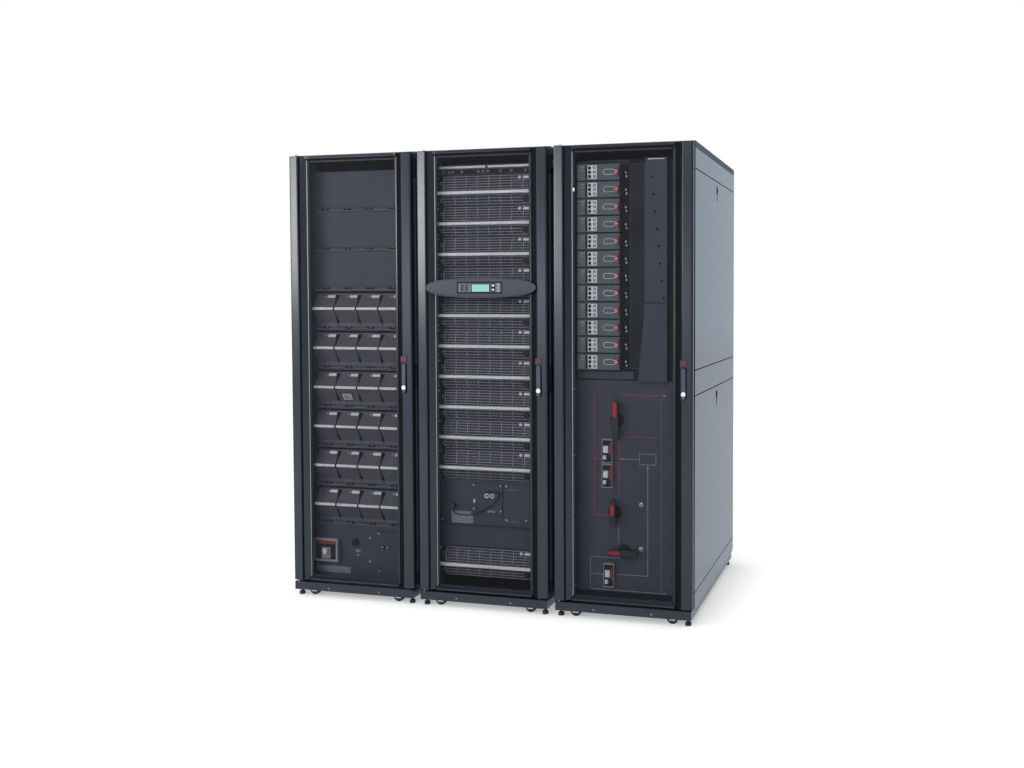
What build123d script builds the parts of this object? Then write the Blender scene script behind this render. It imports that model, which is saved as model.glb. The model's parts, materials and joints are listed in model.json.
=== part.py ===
from build123d import *
import os
from math import floor, radians, tan

# Line-up of three bays, millimetres, +X to the right, +Y to the back, +Z up
BAY_WIDTH = 600.0
BAY_GAP = 24.0
CABINET_HEIGHT = 1991.0
CABINET_DEPTH = 1070.0

# Rack standard
RACK_UNIT_HEIGHT = 44.45
FACE_WIDTH = 482.6
BODY_WIDTH = 440.0
BODY_DEPTH = 640.0
FACE_THICKNESS = 6.0
FACE_SEAM = 2.0
FACE_SETBACK = 39.0

# Base and what it stands on
BASE_UNDERSIDE = 28.0
BASE_HEIGHT = 36.0
BASE_PLATE = 10.0
BASE_SKIRT = 12.0
BASE_SIDE_INSET = 6.0
BASE_FRONT_INSET = 4.0
BASE_HOLE_RADIUS = 5.5
BASE_HOLE_SPACING = 250.0
FOOT_PAD_RADIUS = 13.0
FOOT_PAD_HEIGHT = 12.0
FOOT_STUD_RADIUS = 6.0
FOOT_EDGE_X = 18.0
FOOT_EDGE_Y = 30.0
WHEEL_RADIUS = 24.0
WHEEL_WIDTH = 20.0
WHEEL_LIFT = 1.0
WHEEL_EDGE_X = 84.0
WHEEL_EDGE_Y = 36.0
AXLE_RADIUS = 5.0
AXLE_PLAY = 0.3
FORK_SHEET = 3.0
FORK_GAP = 2.0
FORK_WIDTH = 26.0
FORK_TOP_WIDTH = 52.0

# Frame, side walls and roof
POST_WIDTH = 28.0
POST_DEPTH = 60.0
PANEL_THICKNESS = 12.0
PANEL_SEAM = 2.0
BOTTOM_RAIL_HEIGHT = 68.0
MID_RAIL_HEIGHT = 104.0
TOP_RAIL_HEIGHT = 83.0
UPPER_PANEL_HEIGHT = 826.0
HEAD_ROOM = 32.0
LATCH_WIDTH = 14.0
LATCH_HEIGHT = 60.0
LATCH_DEPTH = 5.0
LATCH_DROP = 28.0
LATCH_FROM_FRONT = 510.0
LATCH_PLAY = 0.5
COVER_PLATE_WIDTH = 300.0
COVER_PLATE_DEPTH = 130.0
COVER_PLATE_THICKNESS = 4.0
COVER_PLATE_SEAM = 2.0
COVER_PLATE_EDGE = 150.0
REAR_HANDLE_WIDTH = 30.0
REAR_HANDLE_HEIGHT = 130.0
REAR_HANDLE_DEPTH = 10.0
REAR_HANDLE_EDGE = 34.0
ROOF_THICKNESS = 28.0
MOUNT_RAIL_WIDTH = 35.0
MOUNT_RAIL_DEPTH = 20.0
REAR_DOOR_THICKNESS = 24.0
REAR_DOOR_SEAM = 4.0
REAR_DOOR_EDGE = 2.0
REAR_DOOR_LIFT = 8.0
REAR_FIELD_MARGIN = 60.0
REAR_FIELD_DEPTH = 8.0
SPACER_DEPTH = 40.0
SPACER_HEIGHT = 30.0
SPACER_END_INSET = 30.0

# Front doors
DOOR_THICKNESS = 36.0
DOOR_SIDE_INSET = 1.0
DOOR_LIFT = 8.0
DOOR_BACK_GAP = 9.0
STILE_FACE = 46.0
STILE_SLOPE = 36.0
STILE_BEVEL = 5.0
STILE_BEVEL_DROP = 2.5
STILE_ROUND = 10.0
STILE_FALL = 4.0
STEP_DEPTH = 9.0
STEP_WIDTH = 6.0
LIP_WIDTH = 5.0
LIP_DROP = 4.0
LIP_NOTCH = 3.0
MESH_SETBACK = 26.0
MESH_SHEET = 2.0
DOOR_TOP_RAIL = 20.0
DOOR_BOTTOM_RAIL = 16.0
RAIL_SETBACK = 12.0
RAIL_SLOPE = 10.0
PIN_RADIUS = 5.0
PIN_PLAY = 0.05
PIN_ENGAGE = 20.0
PIN_END_PLAY = 2.0
HINGE_PLATE = 5.0
HINGE_PLATE_HALF = 14.0
HINGE_PLAY = 3.0

# Door handles, let into the right stile
HANDLE_POCKET_WIDTH = 28.0
HANDLE_POCKET_HEIGHT = 162.0
HANDLE_CENTRE_Z = 1016.0
HANDLE_POCKET_DEPTH = 12.0
HANDLE_FLOOR = 3.0
HANDLE_PLAY = 0.5
HANDLE_CAP_HEIGHT = 27.0
HANDLE_CAP_PROUD = 2.0
HANDLE_LEVER_WIDTH = 19.0
HANDLE_LEVER_PROUD = 3.0
HANDLE_LEVER_GAP = 4.0
HANDLE_LOCK_RADIUS = 8.5
HANDLE_LOCK_PROUD = 2.0
HANDLE_LOCK_Z = 24.0

# Display on the middle door
BEZEL_WIDTH = 504.0
BEZEL_HEIGHT = 90.0
BEZEL_PROUD = 12.0
BEZEL_CENTRE_Z = 1395.0
BEZEL_BOX_WIDTH = 380.0
BEZEL_BOX_HEIGHT = 50.0
SCREEN_WIDTH = 209.0
SCREEN_HEIGHT = 51.0
SCREEN_POCKET = 4.0
SCREEN_THICKNESS = 3.0
LCD_WIDTH = 79.0
LCD_HEIGHT = 31.0
LCD_X = 5.0
LCD_Z = -2.0
KEY_PROUD = 1.0
PAD_WIDTH = 22.0
PAD_HEIGHT = 40.0
PAD_X = 62.0
KEY_SIZE = 9.0
KEY_X = 85.0
KEY_PITCH = 14.0

# Battery bay
TIER_UNITS = 4
BLANK_TIERS = 3
TIER_FOOT = 332.0
LIP_HEIGHT = 14.0
LIP_ABOVE = 2.0
TRAY_SHEET = 3.0
MODULES_PER_ROW = 4
MODULE_GAP = 3.0
MODULE_HEIGHT = 150.0
NOSE_PROUD = 34.0
NOSE_FLAT = 12.0
NOSE_CENTRE = 82.0
NOSE_FOOT = 16.0
NOSE_HEAD = 6.0
NOSE_FOOT_TAPER = 6.0
NOSE_HEAD_TAPER = 9.0
BATTERY_BAR_PROUD = 8.0
BATTERY_BAR_GAP = 2.0
LOWER_PANEL_FOOT = 74.0
BREAKER_WIDTH = 122.0
BREAKER_HEIGHT = 105.0
BREAKER_PROUD = 22.0
BREAKER_X = -172.0
BREAKER_Z = 200.0
SOCKET_RADIUS = 14.0
SOCKET_PROUD = 10.0
SOCKET_X = -32.0
SOCKET_Z = 239.0

# Power bay
POWER_UNITS = 3
PANEL_HEIGHT = 200.0
POWER_NOSE_PROUD = 14.0
POWER_NOSE_FLAT = 16.0
POWER_BAR_Z = 54.0
POWER_BAR_HEIGHT = 14.0
POWER_BAR_PROUD = 17.0
POWER_BAR_INSET = 9.0
CONTROL_UNITS = 1
STATIC_FOOT = 122.0
BLANK_HEIGHT = 97.65
CONTROL_PLATE_LEFT = -84.0
CONTROL_PLATE_RIGHT = 62.0
CONTROL_PLATE_PROUD = 6.0
CONTROL_PLATE_FOOT = 44.0
CONTROL_PLATE_HEAD = 14.0
SIDE_PLATE_LEFT = 68.0
SIDE_PLATE_RIGHT = 224.0
SIDE_PLATE_PROUD = 4.0
SIDE_PLATE_MARGIN = 14.0
PLUG_WIDTH = 14.0
PLUG_HEIGHT = 16.0
PLUG_PROUD = 22.0
LEAD_RADIUS = 2.5
LEAD_STAND = 16.0
ARC_SHARE = 0.45
LEAD_ROUTE = (
    (43.0, 133.0), (43.0, 117.0), (22.0, 97.0), (-12.0, 75.0), (-48.0, 55.0), (-86.0, 45.0), (-126.0, 43.0),
    (-166.0, 50.0), (-166.0, 74.0),
)

# Bypass bay
FEEDER_PITCH = 72.0
FEEDER_MARGIN = 45.0
FEEDER_WIDTH = 184.0
FEEDER_HEIGHT = 66.0
FEEDER_PROUD = 38.0
FEEDER_LEFT = -205.0
TOGGLE_LEFT = 47.0
TOGGLE_WIDTH = 41.0
TOGGLE_HEIGHT = 56.0
TOGGLE_PROUD = 5.0
LEVER_LEFT = 166.0
LEVER_WIDTH = 16.0
LEVER_HEIGHT = 30.0
LEVER_PROUD = 12.0
BACK_PLATE_GAP = 22.0
COVER_LEFT = 84.0
COVER_RIGHT = 178.0
COVER_STEP = 328.0
COVER_FLARE = 30.0
COVER_THICKNESS = 20.0
COVER_HOLES = 8
COVER_HOLE_RADIUS = 5.0
COVER_HOLE_DROP = 80.0
COVER_HOLE_RISE = 20.0
COVER_HOLE_EDGE = 14.0
MIMIC_FOOT = 100.0
MIMIC_HEAD = 980.0
SMALL_BREAKER_WIDTH = 46.0
SMALL_BREAKER_HEIGHT = 102.0
SMALL_BREAKER_PROUD = 16.0
SMALL_BREAKERS = ((-83.0, 604.0), (-83.0, 498.0), (-76.0, 74.0))
SWITCH_SHAFT_RADIUS = 8.0
SWITCH_SHAFT_PLAY = 0.05
SWITCH_STANDOFF = 24.0
SWITCH_COLLAR_RADIUS = 17.0
SWITCH_COLLAR_LIFT = 6.0
SWITCH_PADDLE_DEPTH = 18.0
SWITCH_PADDLE_WIDTH = 26.0
SWITCH_X = (-41.0, -53.0, -9.0)
SWITCH_LENGTH = (168.0, 116.0, 126.0)
SWITCH_TURN = (0.0, 0.0, 90.0)
MAIN_SWITCH_DROP = 144.0
SWITCH_RISE = (344.0, 178.0)

# Places that follow from the sizes above
BAYS = ("battery", "power", "bypass")
PITCH = BAY_WIDTH + BAY_GAP
CENTRES = (-PITCH, 0.0, PITCH)
HALF = BAY_WIDTH / 2
FRONT = -CABINET_DEPTH / 2
BACK = CABINET_DEPTH / 2
DOOR_FRONT = FRONT + BEZEL_PROUD
DOOR_BACK = DOOR_FRONT + DOOR_THICKNESS
FRAME_FRONT = DOOR_BACK + DOOR_BACK_GAP
FRAME_BACK = BACK - REAR_DOOR_THICKNESS
BASE_FRONT = DOOR_FRONT + BASE_FRONT_INSET
BASE_TOP = BASE_UNDERSIDE + BASE_HEIGHT
BASE_HALF = HALF - BASE_SIDE_INSET
PLATE_UNDER = BASE_TOP - BASE_PLATE
ROOF_UNDER = CABINET_HEIGHT - ROOF_THICKNESS
FACE_TOP = ROOF_UNDER - HEAD_ROOM
BOTTOM_RAIL_TOP = BASE_TOP + BOTTOM_RAIL_HEIGHT
TOP_RAIL_BOTTOM = ROOF_UNDER - TOP_RAIL_HEIGHT
MID_RAIL_TOP = TOP_RAIL_BOTTOM - UPPER_PANEL_HEIGHT
MID_RAIL_BOTTOM = MID_RAIL_TOP - MID_RAIL_HEIGHT
WALL_X = HALF - PANEL_THICKNESS
POST_X = WALL_X - POST_WIDTH
RAIL_X = POST_X - MOUNT_RAIL_WIDTH
FACE_FRONT = FRAME_FRONT + FACE_SETBACK
FACE_BACK = FACE_FRONT + FACE_THICKNESS
BODY_BACK = FACE_BACK + BODY_DEPTH
DOOR_BOTTOM = BASE_TOP + DOOR_LIFT
DOOR_TOP = CABINET_HEIGHT - HINGE_PLATE - HINGE_PLAY
DOOR_HALF = HALF - DOOR_SIDE_INSET
STILE_WIDTH = STILE_FACE + STILE_SLOPE
AXIS_X = -DOOR_HALF + DOOR_THICKNESS / 2
AXIS_Y = DOOR_FRONT + DOOR_THICKNESS / 2
HANDLE_X = DOOR_HALF - STILE_FACE - STEP_WIDTH + HANDLE_POCKET_WIDTH / 2
TIER_PITCH = TIER_UNITS * RACK_UNIT_HEIGHT
TIER_COUNT = floor((FACE_TOP - TIER_FOOT + LIP_HEIGHT) / TIER_PITCH)
ROWS_FILLED = TIER_COUNT - BLANK_TIERS
POWER_PITCH = POWER_UNITS * RACK_UNIT_HEIGHT
CONTROL_HEIGHT = CONTROL_UNITS * RACK_UNIT_HEIGHT
BLANK_FOOT = STATIC_FOOT + POWER_PITCH
PANEL_FOOT = BLANK_FOOT + BLANK_HEIGHT
POWER_FOOT = PANEL_FOOT + PANEL_HEIGHT
POWER_COUNT = floor((FACE_TOP - CONTROL_HEIGHT - POWER_FOOT + FACE_SEAM) / POWER_PITCH)
CONTROL_FOOT = POWER_FOOT + POWER_COUNT * POWER_PITCH
CONTROL_TOP = CONTROL_FOOT + CONTROL_HEIGHT
BACK_PLATE_FOOT = MIMIC_HEAD + BACK_PLATE_GAP
FEEDER_FOOT = BACK_PLATE_FOOT + FEEDER_MARGIN
FEEDER_COUNT = floor((FACE_TOP - FEEDER_FOOT) / FEEDER_PITCH)
COVER_STEP_Z = BACK_PLATE_FOOT + COVER_STEP
SWITCH_Z = (MIMIC_HEAD - MAIN_SWITCH_DROP,) + tuple(MIMIC_FOOT + rise for rise in SWITCH_RISE)
SWITCHES = tuple(zip(SWITCH_X, SWITCH_Z, SWITCH_LENGTH, SWITCH_TURN))
FACE_HALF = FACE_WIDTH / 2
BODY_HALF = BODY_WIDTH / 2


def block(x0, x1, y0, y1, z0, z1):
    """Box between two corners."""
    return Pos((x0 + x1) / 2, (y0 + y1) / 2, (z0 + z1) / 2) * Box(x1 - x0, y1 - y0, z1 - z0)


def rod_z(x, y, radius, z0, z1):
    """Upright round bar."""
    return Pos(x, y, (z0 + z1) / 2) * Cylinder(radius, z1 - z0)


def rod_y(x, z, radius, y0, y1):
    """Round bar along Y."""
    return Pos(x, (y0 + y1) / 2, z) * Rot(90, 0, 0) * Cylinder(radius, y1 - y0)


def side_prism(points, x0, x1):
    """Outline in Y and Z, drawn out along X from x0 to x1."""
    outline = [Vector(x0, y, z) for y, z in points]
    face = make_face(Polyline(*outline, close=True))
    return extrude(face, amount=x1 - x0, dir=(1, 0, 0))


def front_prism(points, y0, y1):
    """Outline in X and Z, drawn out along Y from y0 to y1."""
    outline = [Vector(x, y0, z) for x, z in points]
    face = make_face(Polyline(*outline, close=True))
    return extrude(face, amount=y1 - y0, dir=(0, 1, 0))


def write(name, pieces):
    """Writes the solids of one node."""
    solids = []
    for piece in pieces:
        solids.extend(piece.solids())
    whole = solids[0] if len(solids) == 1 else Compound(solids)
    export_step(whole, os.path.join("parts", name + ".step"))


def base(cx):
    """Open-bottomed tray with two anchor holes in its front skirt."""
    x0 = cx - BASE_HALF
    x1 = cx + BASE_HALF
    tray = block(x0, x1, BASE_FRONT, FRAME_BACK, BASE_UNDERSIDE, BASE_TOP)
    tray -= block(
        x0 + BASE_SKIRT, x1 - BASE_SKIRT,
        BASE_FRONT + BASE_SKIRT, FRAME_BACK - BASE_SKIRT,
        BASE_UNDERSIDE, PLATE_UNDER,
    )
    hole_z = (BASE_UNDERSIDE + PLATE_UNDER) / 2
    for side in (-1, 1):
        hole_x = cx + side * BASE_HOLE_SPACING / 2
        tray -= rod_y(hole_x, hole_z, BASE_HOLE_RADIUS, BASE_FRONT, BASE_FRONT + BASE_SKIRT)
    return tray


def corner_signs():
    return ((-1, -1), (1, -1), (-1, 1), (1, 1))


def edge_place(cx, sx, sy, inset_x, inset_y):
    """Point under the base, set in from its corner."""
    x = cx + sx * (BASE_HALF - inset_x)
    y = BASE_FRONT + inset_y if sy < 0 else FRAME_BACK - inset_y
    return x, y


def foot(x, y):
    pad = rod_z(x, y, FOOT_PAD_RADIUS, 0, FOOT_PAD_HEIGHT)
    return pad + rod_z(x, y, FOOT_STUD_RADIUS, FOOT_PAD_HEIGHT, PLATE_UNDER)


def wheel(x, y):
    axle_z = WHEEL_LIFT + WHEEL_RADIUS
    tyre = rod_y(x, axle_z, WHEEL_RADIUS, y - WHEEL_WIDTH / 2, y + WHEEL_WIDTH / 2)
    return tyre - rod_y(x, axle_z, AXLE_RADIUS + AXLE_PLAY, y - WHEEL_WIDTH / 2, y + WHEEL_WIDTH / 2)


def fork(x, y):
    """Top plate, two cheeks and the axle of one caster."""
    axle_z = WHEEL_LIFT + WHEEL_RADIUS
    inner = WHEEL_WIDTH / 2 + FORK_GAP
    outer = inner + FORK_SHEET
    body = block(
        x - FORK_TOP_WIDTH / 2, x + FORK_TOP_WIDTH / 2, y - outer, y + outer,
        PLATE_UNDER - FORK_SHEET, PLATE_UNDER,
    )
    for y0, y1 in ((y - outer, y - inner), (y + inner, y + outer)):
        body += block(
            x - FORK_WIDTH / 2, x + FORK_WIDTH / 2, y0, y1,
            axle_z - AXLE_RADIUS - FORK_SHEET, PLATE_UNDER - FORK_SHEET,
        )
    return body + rod_y(x, axle_z, AXLE_RADIUS, y - outer, y + outer)


def posts(cx):
    out = []
    for sx in (-1, 1):
        x0, x1 = sorted((cx + sx * POST_X, cx + sx * WALL_X))
        out.append(block(x0, x1, FRAME_FRONT, FRAME_FRONT + POST_DEPTH, BASE_TOP, ROOF_UNDER))
        out.append(block(x0, x1, FRAME_BACK - POST_DEPTH, FRAME_BACK, BASE_TOP, ROOF_UNDER))
    return out


def mount_rails(cx):
    out = []
    for sx in (-1, 1):
        x0, x1 = sorted((cx + sx * RAIL_X, cx + sx * POST_X))
        out.append(block(x0, x1, FACE_BACK, FACE_BACK + MOUNT_RAIL_DEPTH, BASE_TOP, ROOF_UNDER))
    return out


def wall(cx, sx, z0, z1):
    """Flat sheet on the outside of the posts."""
    x0, x1 = sorted((cx + sx * WALL_X, cx + sx * HALF))
    return block(x0, x1, FRAME_FRONT, FRAME_BACK, z0, z1)


def rails(cx):
    out = []
    for sx in (-1, 1):
        out.append(wall(cx, sx, BASE_TOP, BOTTOM_RAIL_TOP))
        out.append(wall(cx, sx, MID_RAIL_BOTTOM, MID_RAIL_TOP))
        out.append(wall(cx, sx, TOP_RAIL_BOTTOM, ROOF_UNDER))
    return out


def panels(cx, sx):
    lower = wall(cx, sx, BOTTOM_RAIL_TOP + PANEL_SEAM, MID_RAIL_BOTTOM - PANEL_SEAM)
    upper = wall(cx, sx, MID_RAIL_TOP + PANEL_SEAM, TOP_RAIL_BOTTOM - PANEL_SEAM)
    return [lower, upper]


def latch_block(cx, sx, top, play):
    """Upright latch let into a side panel, or its pocket where play is nought."""
    x0, x1 = sorted((cx + sx * (HALF - LATCH_DEPTH), cx + sx * HALF))
    y = FRAME_FRONT + LATCH_FROM_FRONT
    half = LATCH_WIDTH / 2 - play
    return block(x0, x1, y - half, y + half, top - LATCH_DROP - LATCH_HEIGHT + play, top - LATCH_DROP - play)


def outer_panels(cx, sx):
    lower, upper = panels(cx, sx)
    lower -= latch_block(cx, sx, MID_RAIL_BOTTOM - PANEL_SEAM, 0)
    upper -= latch_block(cx, sx, TOP_RAIL_BOTTOM - PANEL_SEAM, 0)
    return [lower, upper]


def latches(cx, sx):
    return [
        latch_block(cx, sx, MID_RAIL_BOTTOM - PANEL_SEAM, LATCH_PLAY),
        latch_block(cx, sx, TOP_RAIL_BOTTOM - PANEL_SEAM, LATCH_PLAY),
    ]


def cover_plates(cx, play):
    """Two cable entry covers let into the roof, or their pockets where play is nought."""
    half = COVER_PLATE_WIDTH / 2 - play
    depth = COVER_PLATE_DEPTH / 2 - play
    out = []
    for y in (FRAME_FRONT + COVER_PLATE_EDGE, FRAME_BACK - COVER_PLATE_EDGE):
        out.append(block(
            cx - half, cx + half, y - depth, y + depth,
            CABINET_HEIGHT - COVER_PLATE_THICKNESS, CABINET_HEIGHT,
        ))
    return out


def roof(cx):
    slab = block(cx - HALF, cx + HALF, FRAME_FRONT, FRAME_BACK, ROOF_UNDER, CABINET_HEIGHT)
    for plate in cover_plates(cx, 0):
        slab -= plate
    return slab


def rear_handle(cx, play):
    """Flush handle on the right-hand rear leaf, or its pocket where play is nought."""
    x = cx + REAR_DOOR_SEAM / 2 + REAR_HANDLE_EDGE
    half = REAR_HANDLE_WIDTH / 2 - play
    tall = REAR_HANDLE_HEIGHT / 2 - play
    return block(
        x - half, x + half, BACK - REAR_HANDLE_DEPTH, BACK, HANDLE_CENTRE_Z - tall, HANDLE_CENTRE_Z + tall,
    )


def rear_doors(cx):
    """Two leaves with a sunk field for their perforated sheets."""
    out = []
    for sx in (-1, 1):
        x0, x1 = sorted((cx + sx * REAR_DOOR_SEAM / 2, cx + sx * (HALF - REAR_DOOR_EDGE)))
        z0 = BASE_TOP + REAR_DOOR_LIFT
        z1 = CABINET_HEIGHT - REAR_DOOR_LIFT
        leaf = block(x0, x1, FRAME_BACK, BACK, z0, z1)
        leaf -= block(
            x0 + REAR_FIELD_MARGIN, x1 - REAR_FIELD_MARGIN, BACK - REAR_FIELD_DEPTH, BACK,
            z0 + REAR_FIELD_MARGIN, z1 - REAR_FIELD_MARGIN,
        )
        out.append(leaf - rear_handle(cx, 0))
    return out


def spacers(cx):
    """Blocks that bolt one bay to the next on its right."""
    out = []
    x0 = cx + HALF
    for z in ((BASE_TOP + BOTTOM_RAIL_TOP) / 2, (TOP_RAIL_BOTTOM + ROOF_UNDER) / 2):
        for y in (FRAME_FRONT + SPACER_END_INSET, FRAME_BACK - SPACER_END_INSET - SPACER_DEPTH):
            foot_z = z - SPACER_HEIGHT / 2
            out.append(block(x0, x0 + BAY_GAP, y, y + SPACER_DEPTH, foot_z, foot_z + SPACER_HEIGHT))
    return out


def hinge_pins(cx):
    """Lower pin on the base, and upper pin under a plate on the roof's front edge."""
    x = cx + AXIS_X
    lower = rod_z(x, AXIS_Y, PIN_RADIUS, BASE_TOP, DOOR_BOTTOM + PIN_ENGAGE)
    plate_z = CABINET_HEIGHT - HINGE_PLATE
    upper = block(
        x - HINGE_PLATE_HALF, x + HINGE_PLATE_HALF, AXIS_Y - HINGE_PLATE_HALF, FRAME_FRONT,
        plate_z, CABINET_HEIGHT,
    )
    upper += rod_z(x, AXIS_Y, PIN_RADIUS, DOOR_TOP - PIN_ENGAGE, plate_z)
    return [lower, upper]


def stile(cx):
    """Left stile: rounded outer edge, face that falls outwards, groove, and a slope to a lip by the mesh."""
    x0 = cx - DOOR_HALF
    front = DOOR_FRONT
    back = DOOR_BACK
    z = DOOR_BOTTOM
    face_end = x0 + STILE_FACE
    inner = x0 + STILE_WIDTH
    seat = front + MESH_SETBACK
    lip = inner - LIP_WIDTH
    outline = Polyline(
        (x0, front + STILE_FALL, z), (face_end - STILE_BEVEL, front, z),
        (face_end, front + STILE_BEVEL_DROP, z),
        (face_end, front + STEP_DEPTH, z), (face_end + STEP_WIDTH, front + STEP_DEPTH, z),
        (lip, seat - LIP_DROP + LIP_NOTCH, z), (lip, seat - LIP_DROP, z), (inner, seat - LIP_DROP, z),
        (inner, back, z), (x0, back, z), close=True,
    )
    bar = extrude(make_face(outline), amount=DOOR_TOP - DOOR_BOTTOM, dir=(0, 0, 1))
    outer = bar.edges().filter_by(Axis.Z).sort_by(Axis.X)[:2]
    return fillet(outer, STILE_ROUND)


def door_frame(cx):
    """Two stiles and two rails in one piece, bored for the hinge pins and let in for the handle."""
    left = stile(cx)
    right = mirror(left, about=Plane.YZ.offset(cx))
    reach = DOOR_HALF - STILE_WIDTH + LIP_WIDTH
    x0 = cx - reach
    x1 = cx + reach
    front = DOOR_FRONT + RAIL_SETBACK
    seat = DOOR_FRONT + MESH_SETBACK
    top_edge = DOOR_TOP - DOOR_TOP_RAIL
    low_edge = DOOR_BOTTOM + DOOR_BOTTOM_RAIL
    top_rail = side_prism((
        (front, DOOR_TOP), (front, top_edge + RAIL_SLOPE), (seat, top_edge),
        (DOOR_BACK, top_edge), (DOOR_BACK, DOOR_TOP),
    ), x0, x1)
    low_rail = side_prism((
        (front, DOOR_BOTTOM), (front, low_edge - RAIL_SLOPE), (seat, low_edge),
        (DOOR_BACK, low_edge), (DOOR_BACK, DOOR_BOTTOM),
    ), x0, x1)
    frame = left + right + top_rail + low_rail
    bore = PIN_RADIUS + PIN_PLAY
    depth = PIN_ENGAGE + PIN_END_PLAY
    frame -= rod_z(cx + AXIS_X, AXIS_Y, bore, DOOR_BOTTOM, DOOR_BOTTOM + depth)
    frame -= rod_z(cx + AXIS_X, AXIS_Y, bore, DOOR_TOP - depth, DOOR_TOP)
    frame -= handle_block(cx, 0, HANDLE_POCKET_DEPTH, 0)
    return frame


def door_mesh(cx):
    x = DOOR_HALF - STILE_WIDTH
    seat = DOOR_FRONT + MESH_SETBACK
    return block(
        cx - x, cx + x, seat, seat + MESH_SHEET,
        DOOR_BOTTOM + DOOR_BOTTOM_RAIL, DOOR_TOP - DOOR_TOP_RAIL,
    )


def handle_block(cx, y0, y1, play):
    """Block that fills the handle pocket between two depths behind the door's face."""
    half_w = HANDLE_POCKET_WIDTH / 2 - play
    half_h = HANDLE_POCKET_HEIGHT / 2 - play
    x = cx + HANDLE_X
    return block(
        x - half_w, x + half_w, DOOR_FRONT + y0, DOOR_FRONT + y1,
        HANDLE_CENTRE_Z - half_h, HANDLE_CENTRE_Z + half_h,
    )


def door_handle(cx):
    """Tray on the floor of the pocket, a cap at its head, a round-ended lever and its lock."""
    x = cx + HANDLE_X
    low = HANDLE_CENTRE_Z - HANDLE_POCKET_HEIGHT / 2 + HANDLE_PLAY
    high = HANDLE_CENTRE_Z + HANDLE_POCKET_HEIGHT / 2 - HANDLE_PLAY
    tray_front = DOOR_FRONT + HANDLE_POCKET_DEPTH - HANDLE_FLOOR
    half = HANDLE_POCKET_WIDTH / 2 - HANDLE_PLAY
    lever_half = HANDLE_LEVER_WIDTH / 2
    lever_front = DOOR_FRONT - HANDLE_LEVER_PROUD
    head = high - HANDLE_CAP_HEIGHT - HANDLE_LEVER_GAP - lever_half
    foot_z = low + lever_half
    lock_z = low + HANDLE_LOCK_Z
    body = handle_block(cx, HANDLE_POCKET_DEPTH - HANDLE_FLOOR, HANDLE_POCKET_DEPTH, HANDLE_PLAY)
    cap_front = DOOR_FRONT - HANDLE_CAP_PROUD
    body += block(x - half, x + half, cap_front, tray_front, high - HANDLE_CAP_HEIGHT, high)
    body += block(x - lever_half, x + lever_half, lever_front, tray_front, foot_z, head)
    body += rod_y(x, head, lever_half, lever_front, tray_front)
    body += rod_y(x, foot_z, lever_half, lever_front, tray_front)
    return body + rod_y(x, lock_z, HANDLE_LOCK_RADIUS, lever_front - HANDLE_LOCK_PROUD, lever_front)


def display_bezel():
    """Long oval across the middle door, with a box behind it that seats on the mesh."""
    plane = Plane(origin=(0, FRONT, BEZEL_CENTRE_Z), x_dir=(1, 0, 0), z_dir=(0, -1, 0))
    oval = extrude(plane * Ellipse(BEZEL_WIDTH / 2, BEZEL_HEIGHT / 2), amount=BEZEL_PROUD, dir=(0, 1, 0))
    half_w = BEZEL_BOX_WIDTH / 2
    half_h = BEZEL_BOX_HEIGHT / 2
    oval += block(
        -half_w, half_w, DOOR_FRONT, DOOR_FRONT + MESH_SETBACK,
        BEZEL_CENTRE_Z - half_h, BEZEL_CENTRE_Z + half_h,
    )
    return oval - screen_block(SCREEN_POCKET)


def screen_block(depth):
    return block(
        -SCREEN_WIDTH / 2, SCREEN_WIDTH / 2, FRONT, FRONT + depth,
        BEZEL_CENTRE_Z - SCREEN_HEIGHT / 2, BEZEL_CENTRE_Z + SCREEN_HEIGHT / 2,
    )


def display_panel():
    return Pos(0, SCREEN_POCKET - SCREEN_THICKNESS, 0) * screen_block(SCREEN_THICKNESS)


def on_screen(x, z, width, height):
    """Thin block on the display panel, flush with the bezel."""
    y = FRONT + SCREEN_POCKET - SCREEN_THICKNESS
    mid = BEZEL_CENTRE_Z + z
    return block(x - width / 2, x + width / 2, y - KEY_PROUD, y, mid - height / 2, mid + height / 2)


def display_keys():
    """Round-ended pad and a column of three keys."""
    y = FRONT + SCREEN_POCKET - SCREEN_THICKNESS
    straight = (PAD_HEIGHT - PAD_WIDTH) / 2
    pad = on_screen(PAD_X, 0, PAD_WIDTH, PAD_HEIGHT - PAD_WIDTH)
    for side in (-1, 1):
        pad += rod_y(PAD_X, BEZEL_CENTRE_Z + side * straight, PAD_WIDTH / 2, y - KEY_PROUD, y)
    return [pad] + [on_screen(KEY_X, step * KEY_PITCH, KEY_SIZE, KEY_SIZE) for step in (-1, 0, 1)]


def face_plate(cx, z0, z1):
    return block(
        cx - FACE_HALF, cx + FACE_HALF, FACE_FRONT, FACE_BACK, z0 + FACE_SEAM / 2, z1 - FACE_SEAM / 2,
    )


def body_block(cx, z0, z1):
    return block(cx - BODY_HALF, cx + BODY_HALF, FACE_BACK, BODY_BACK, z0 + FACE_SEAM, z1 - FACE_SEAM)


def tier_z(index):
    return TIER_FOOT + index * TIER_PITCH


def shelf(cx, z):
    lip = block(
        cx - FACE_HALF, cx + FACE_HALF, FACE_FRONT, FACE_BACK, z + LIP_ABOVE - LIP_HEIGHT, z + LIP_ABOVE,
    )
    return lip + block(cx - BODY_HALF, cx + BODY_HALF, FACE_BACK, BODY_BACK, z - TRAY_SHEET, z)


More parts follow.
